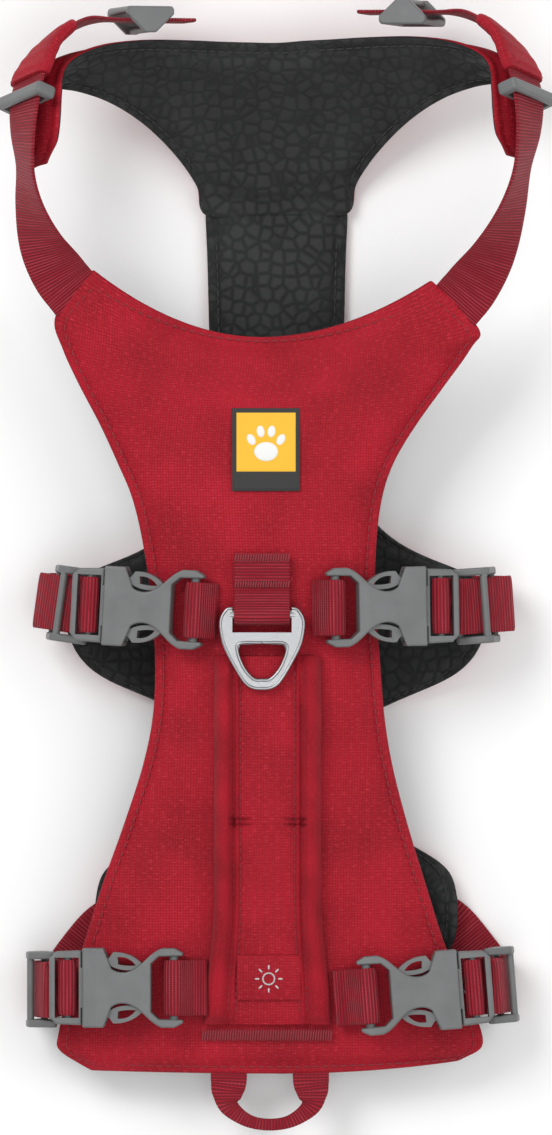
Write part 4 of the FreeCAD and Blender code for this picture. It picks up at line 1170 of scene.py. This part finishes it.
def make_chest_loop():
    """The webbing strip that stands off the front of the chest, sewn down at both ends."""
    middle, way = np.array([1.56, 175.8, 18.0]), unit(np.array([0.0, 0.53, -0.85]))
    up = np.array([0.0, -way[2], way[1]])
    stations = [station(middle + [x, 0, 0] + way * (gap + WEB_T / 2), up) for x, gap in
                ((-18, 1.2), (-13, 1.4), (-9, 5.0), (-4, 8.2), (4, 8.2), (9, 5.0), (13, 1.4), (18, 1.2))]
    piece = webbing("chest_loop_webbing", stations, width=14.0)
    belongs(piece, "harness", "webbing", "chest_loop")


def make_ring_rims():
    """Raised rounded rims forged along the leash ring's outer edge and round its eye, on both faces."""
    z = ring_height()
    outer = np.array([(10.5, 2.2), (12.6, 1.8), (14.6, -1.5), (14.7, -5.5), (13.4, -11.0), (10.1, -17.8),
                      (6.3, -23.9), (3.4, -26.0), (0.0, -26.4)])
    outer = np.concatenate([outer, outer[-2::-1] * [-1, 1]])
    eye = np.array([(0.0, -10.0), (7.9, -10.2), (8.9, -13.0), (6.7, -18.9), (3.1, -23.0), (0.0, -23.4)])
    eye = np.concatenate([eye, eye[-2:0:-1] * [-1, 1], eye[:1]])
    pieces = []
    for line in (outer, eye):
        for face in (1.45, -1.45):
            path = np.column_stack([line[:, 0] + RING_X, line[:, 1] + RING_Y, np.full(len(line), z + face)])
            up = np.tile([0.0, 0.0, 1.0], (len(line), 1))
            pieces.append(tube("rim", round_rings(np.concatenate([path, up], 1), 0.55), [METAL]))
    rims = join("leash_ring_rims", pieces)
    belongs(rims, "leash_ring", "metal")


def round_rings(stations, radius, step=0.7):
    """A round rod along a path."""
    path = even(stations, int(run_of(stations[:, :3])[-1] / step))
    across, out = frames(path)
    a = np.linspace(0, 2 * np.pi, 11)[:-1]
    return (path[:, None, :3] + radius * (across[:, None] * np.cos(a)[None, :, None]
                                          + out[:, None] * np.sin(a)[None, :, None]))


# ---------------------------------------------------------------- everything together
make_panels()
make_seams()
for number in BUCKLES:
    make_anchor(number)
    make_girth_loop(number)
    make_girth_run(number)
make_neck_strap("left", -1)
make_neck_strap("right", 1)
make_ring_webbing()
make_handle()
make_light_tab()
make_bar_tacks()
make_label()
make_rear_loop()
make_chest_loop()
make_ring_rims()

for node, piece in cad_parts.items():
    if node.startswith(("buckle_", "prong_", "girth_slider", "neck_slider", "guide_ring")):
        piece.data.materials.clear()
        piece.data.materials.append(PLASTIC)
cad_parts["leash_ring"].data.materials.clear()
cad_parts["leash_ring"].data.materials.append(METAL)


def make_studio():
    """A pale floor, a pale sky and three large soft lamps."""
    mesh = bpy.data.meshes.new("floor")
    corners = [(-3, -3, -0.0006), (3, -3, -0.0006), (3, 3, -0.0006), (-3, 3, -0.0006)]
    mesh.from_pydata(corners, [], [(0, 1, 2, 3)])
    mesh.materials.append(floor_material())
    floor = bpy.data.objects.new("floor", mesh)
    bpy.context.scene.collection.objects.link(floor)
    world = bpy.data.worlds.new("pale_sky")
    world.use_nodes = True
    world.node_tree.nodes["Background"].inputs[0].default_value = (1.0, 1.0, 1.0, 1.0)
    world.node_tree.nodes["Background"].inputs[1].default_value = 0.54
    bpy.context.scene.world = world
    for name, place, size, power in (("key", (-0.9, 0.9, 1.7), 0.9, 19), ("fill", (1.3, 0.3, 1.4), 1.3, 8),
                                     ("top", (0.1, -0.5, 2.2), 1.2, 10)):
        lamp = bpy.data.lights.new(name, "AREA")
        lamp.size, lamp.energy = size, power
        piece = bpy.data.objects.new(name, lamp)
        piece.location = place
        piece.rotation_euler = (-Vector(place)).to_track_quat("-Z", "Y").to_euler()
        bpy.context.scene.collection.objects.link(piece)
    lens = bpy.data.cameras.new("camera")
    lens.sensor_fit, lens.sensor_height, lens.lens = "VERTICAL", 36.0, 440.0
    lens.clip_end = 50.0
    camera = bpy.data.objects.new("camera", lens)
    camera.location = (0.0014, 0.0002, 5.0)
    bpy.context.scene.collection.objects.link(camera)
    bpy.context.scene.camera = camera
    bpy.context.scene.view_settings.view_transform = "Standard"


make_studio()
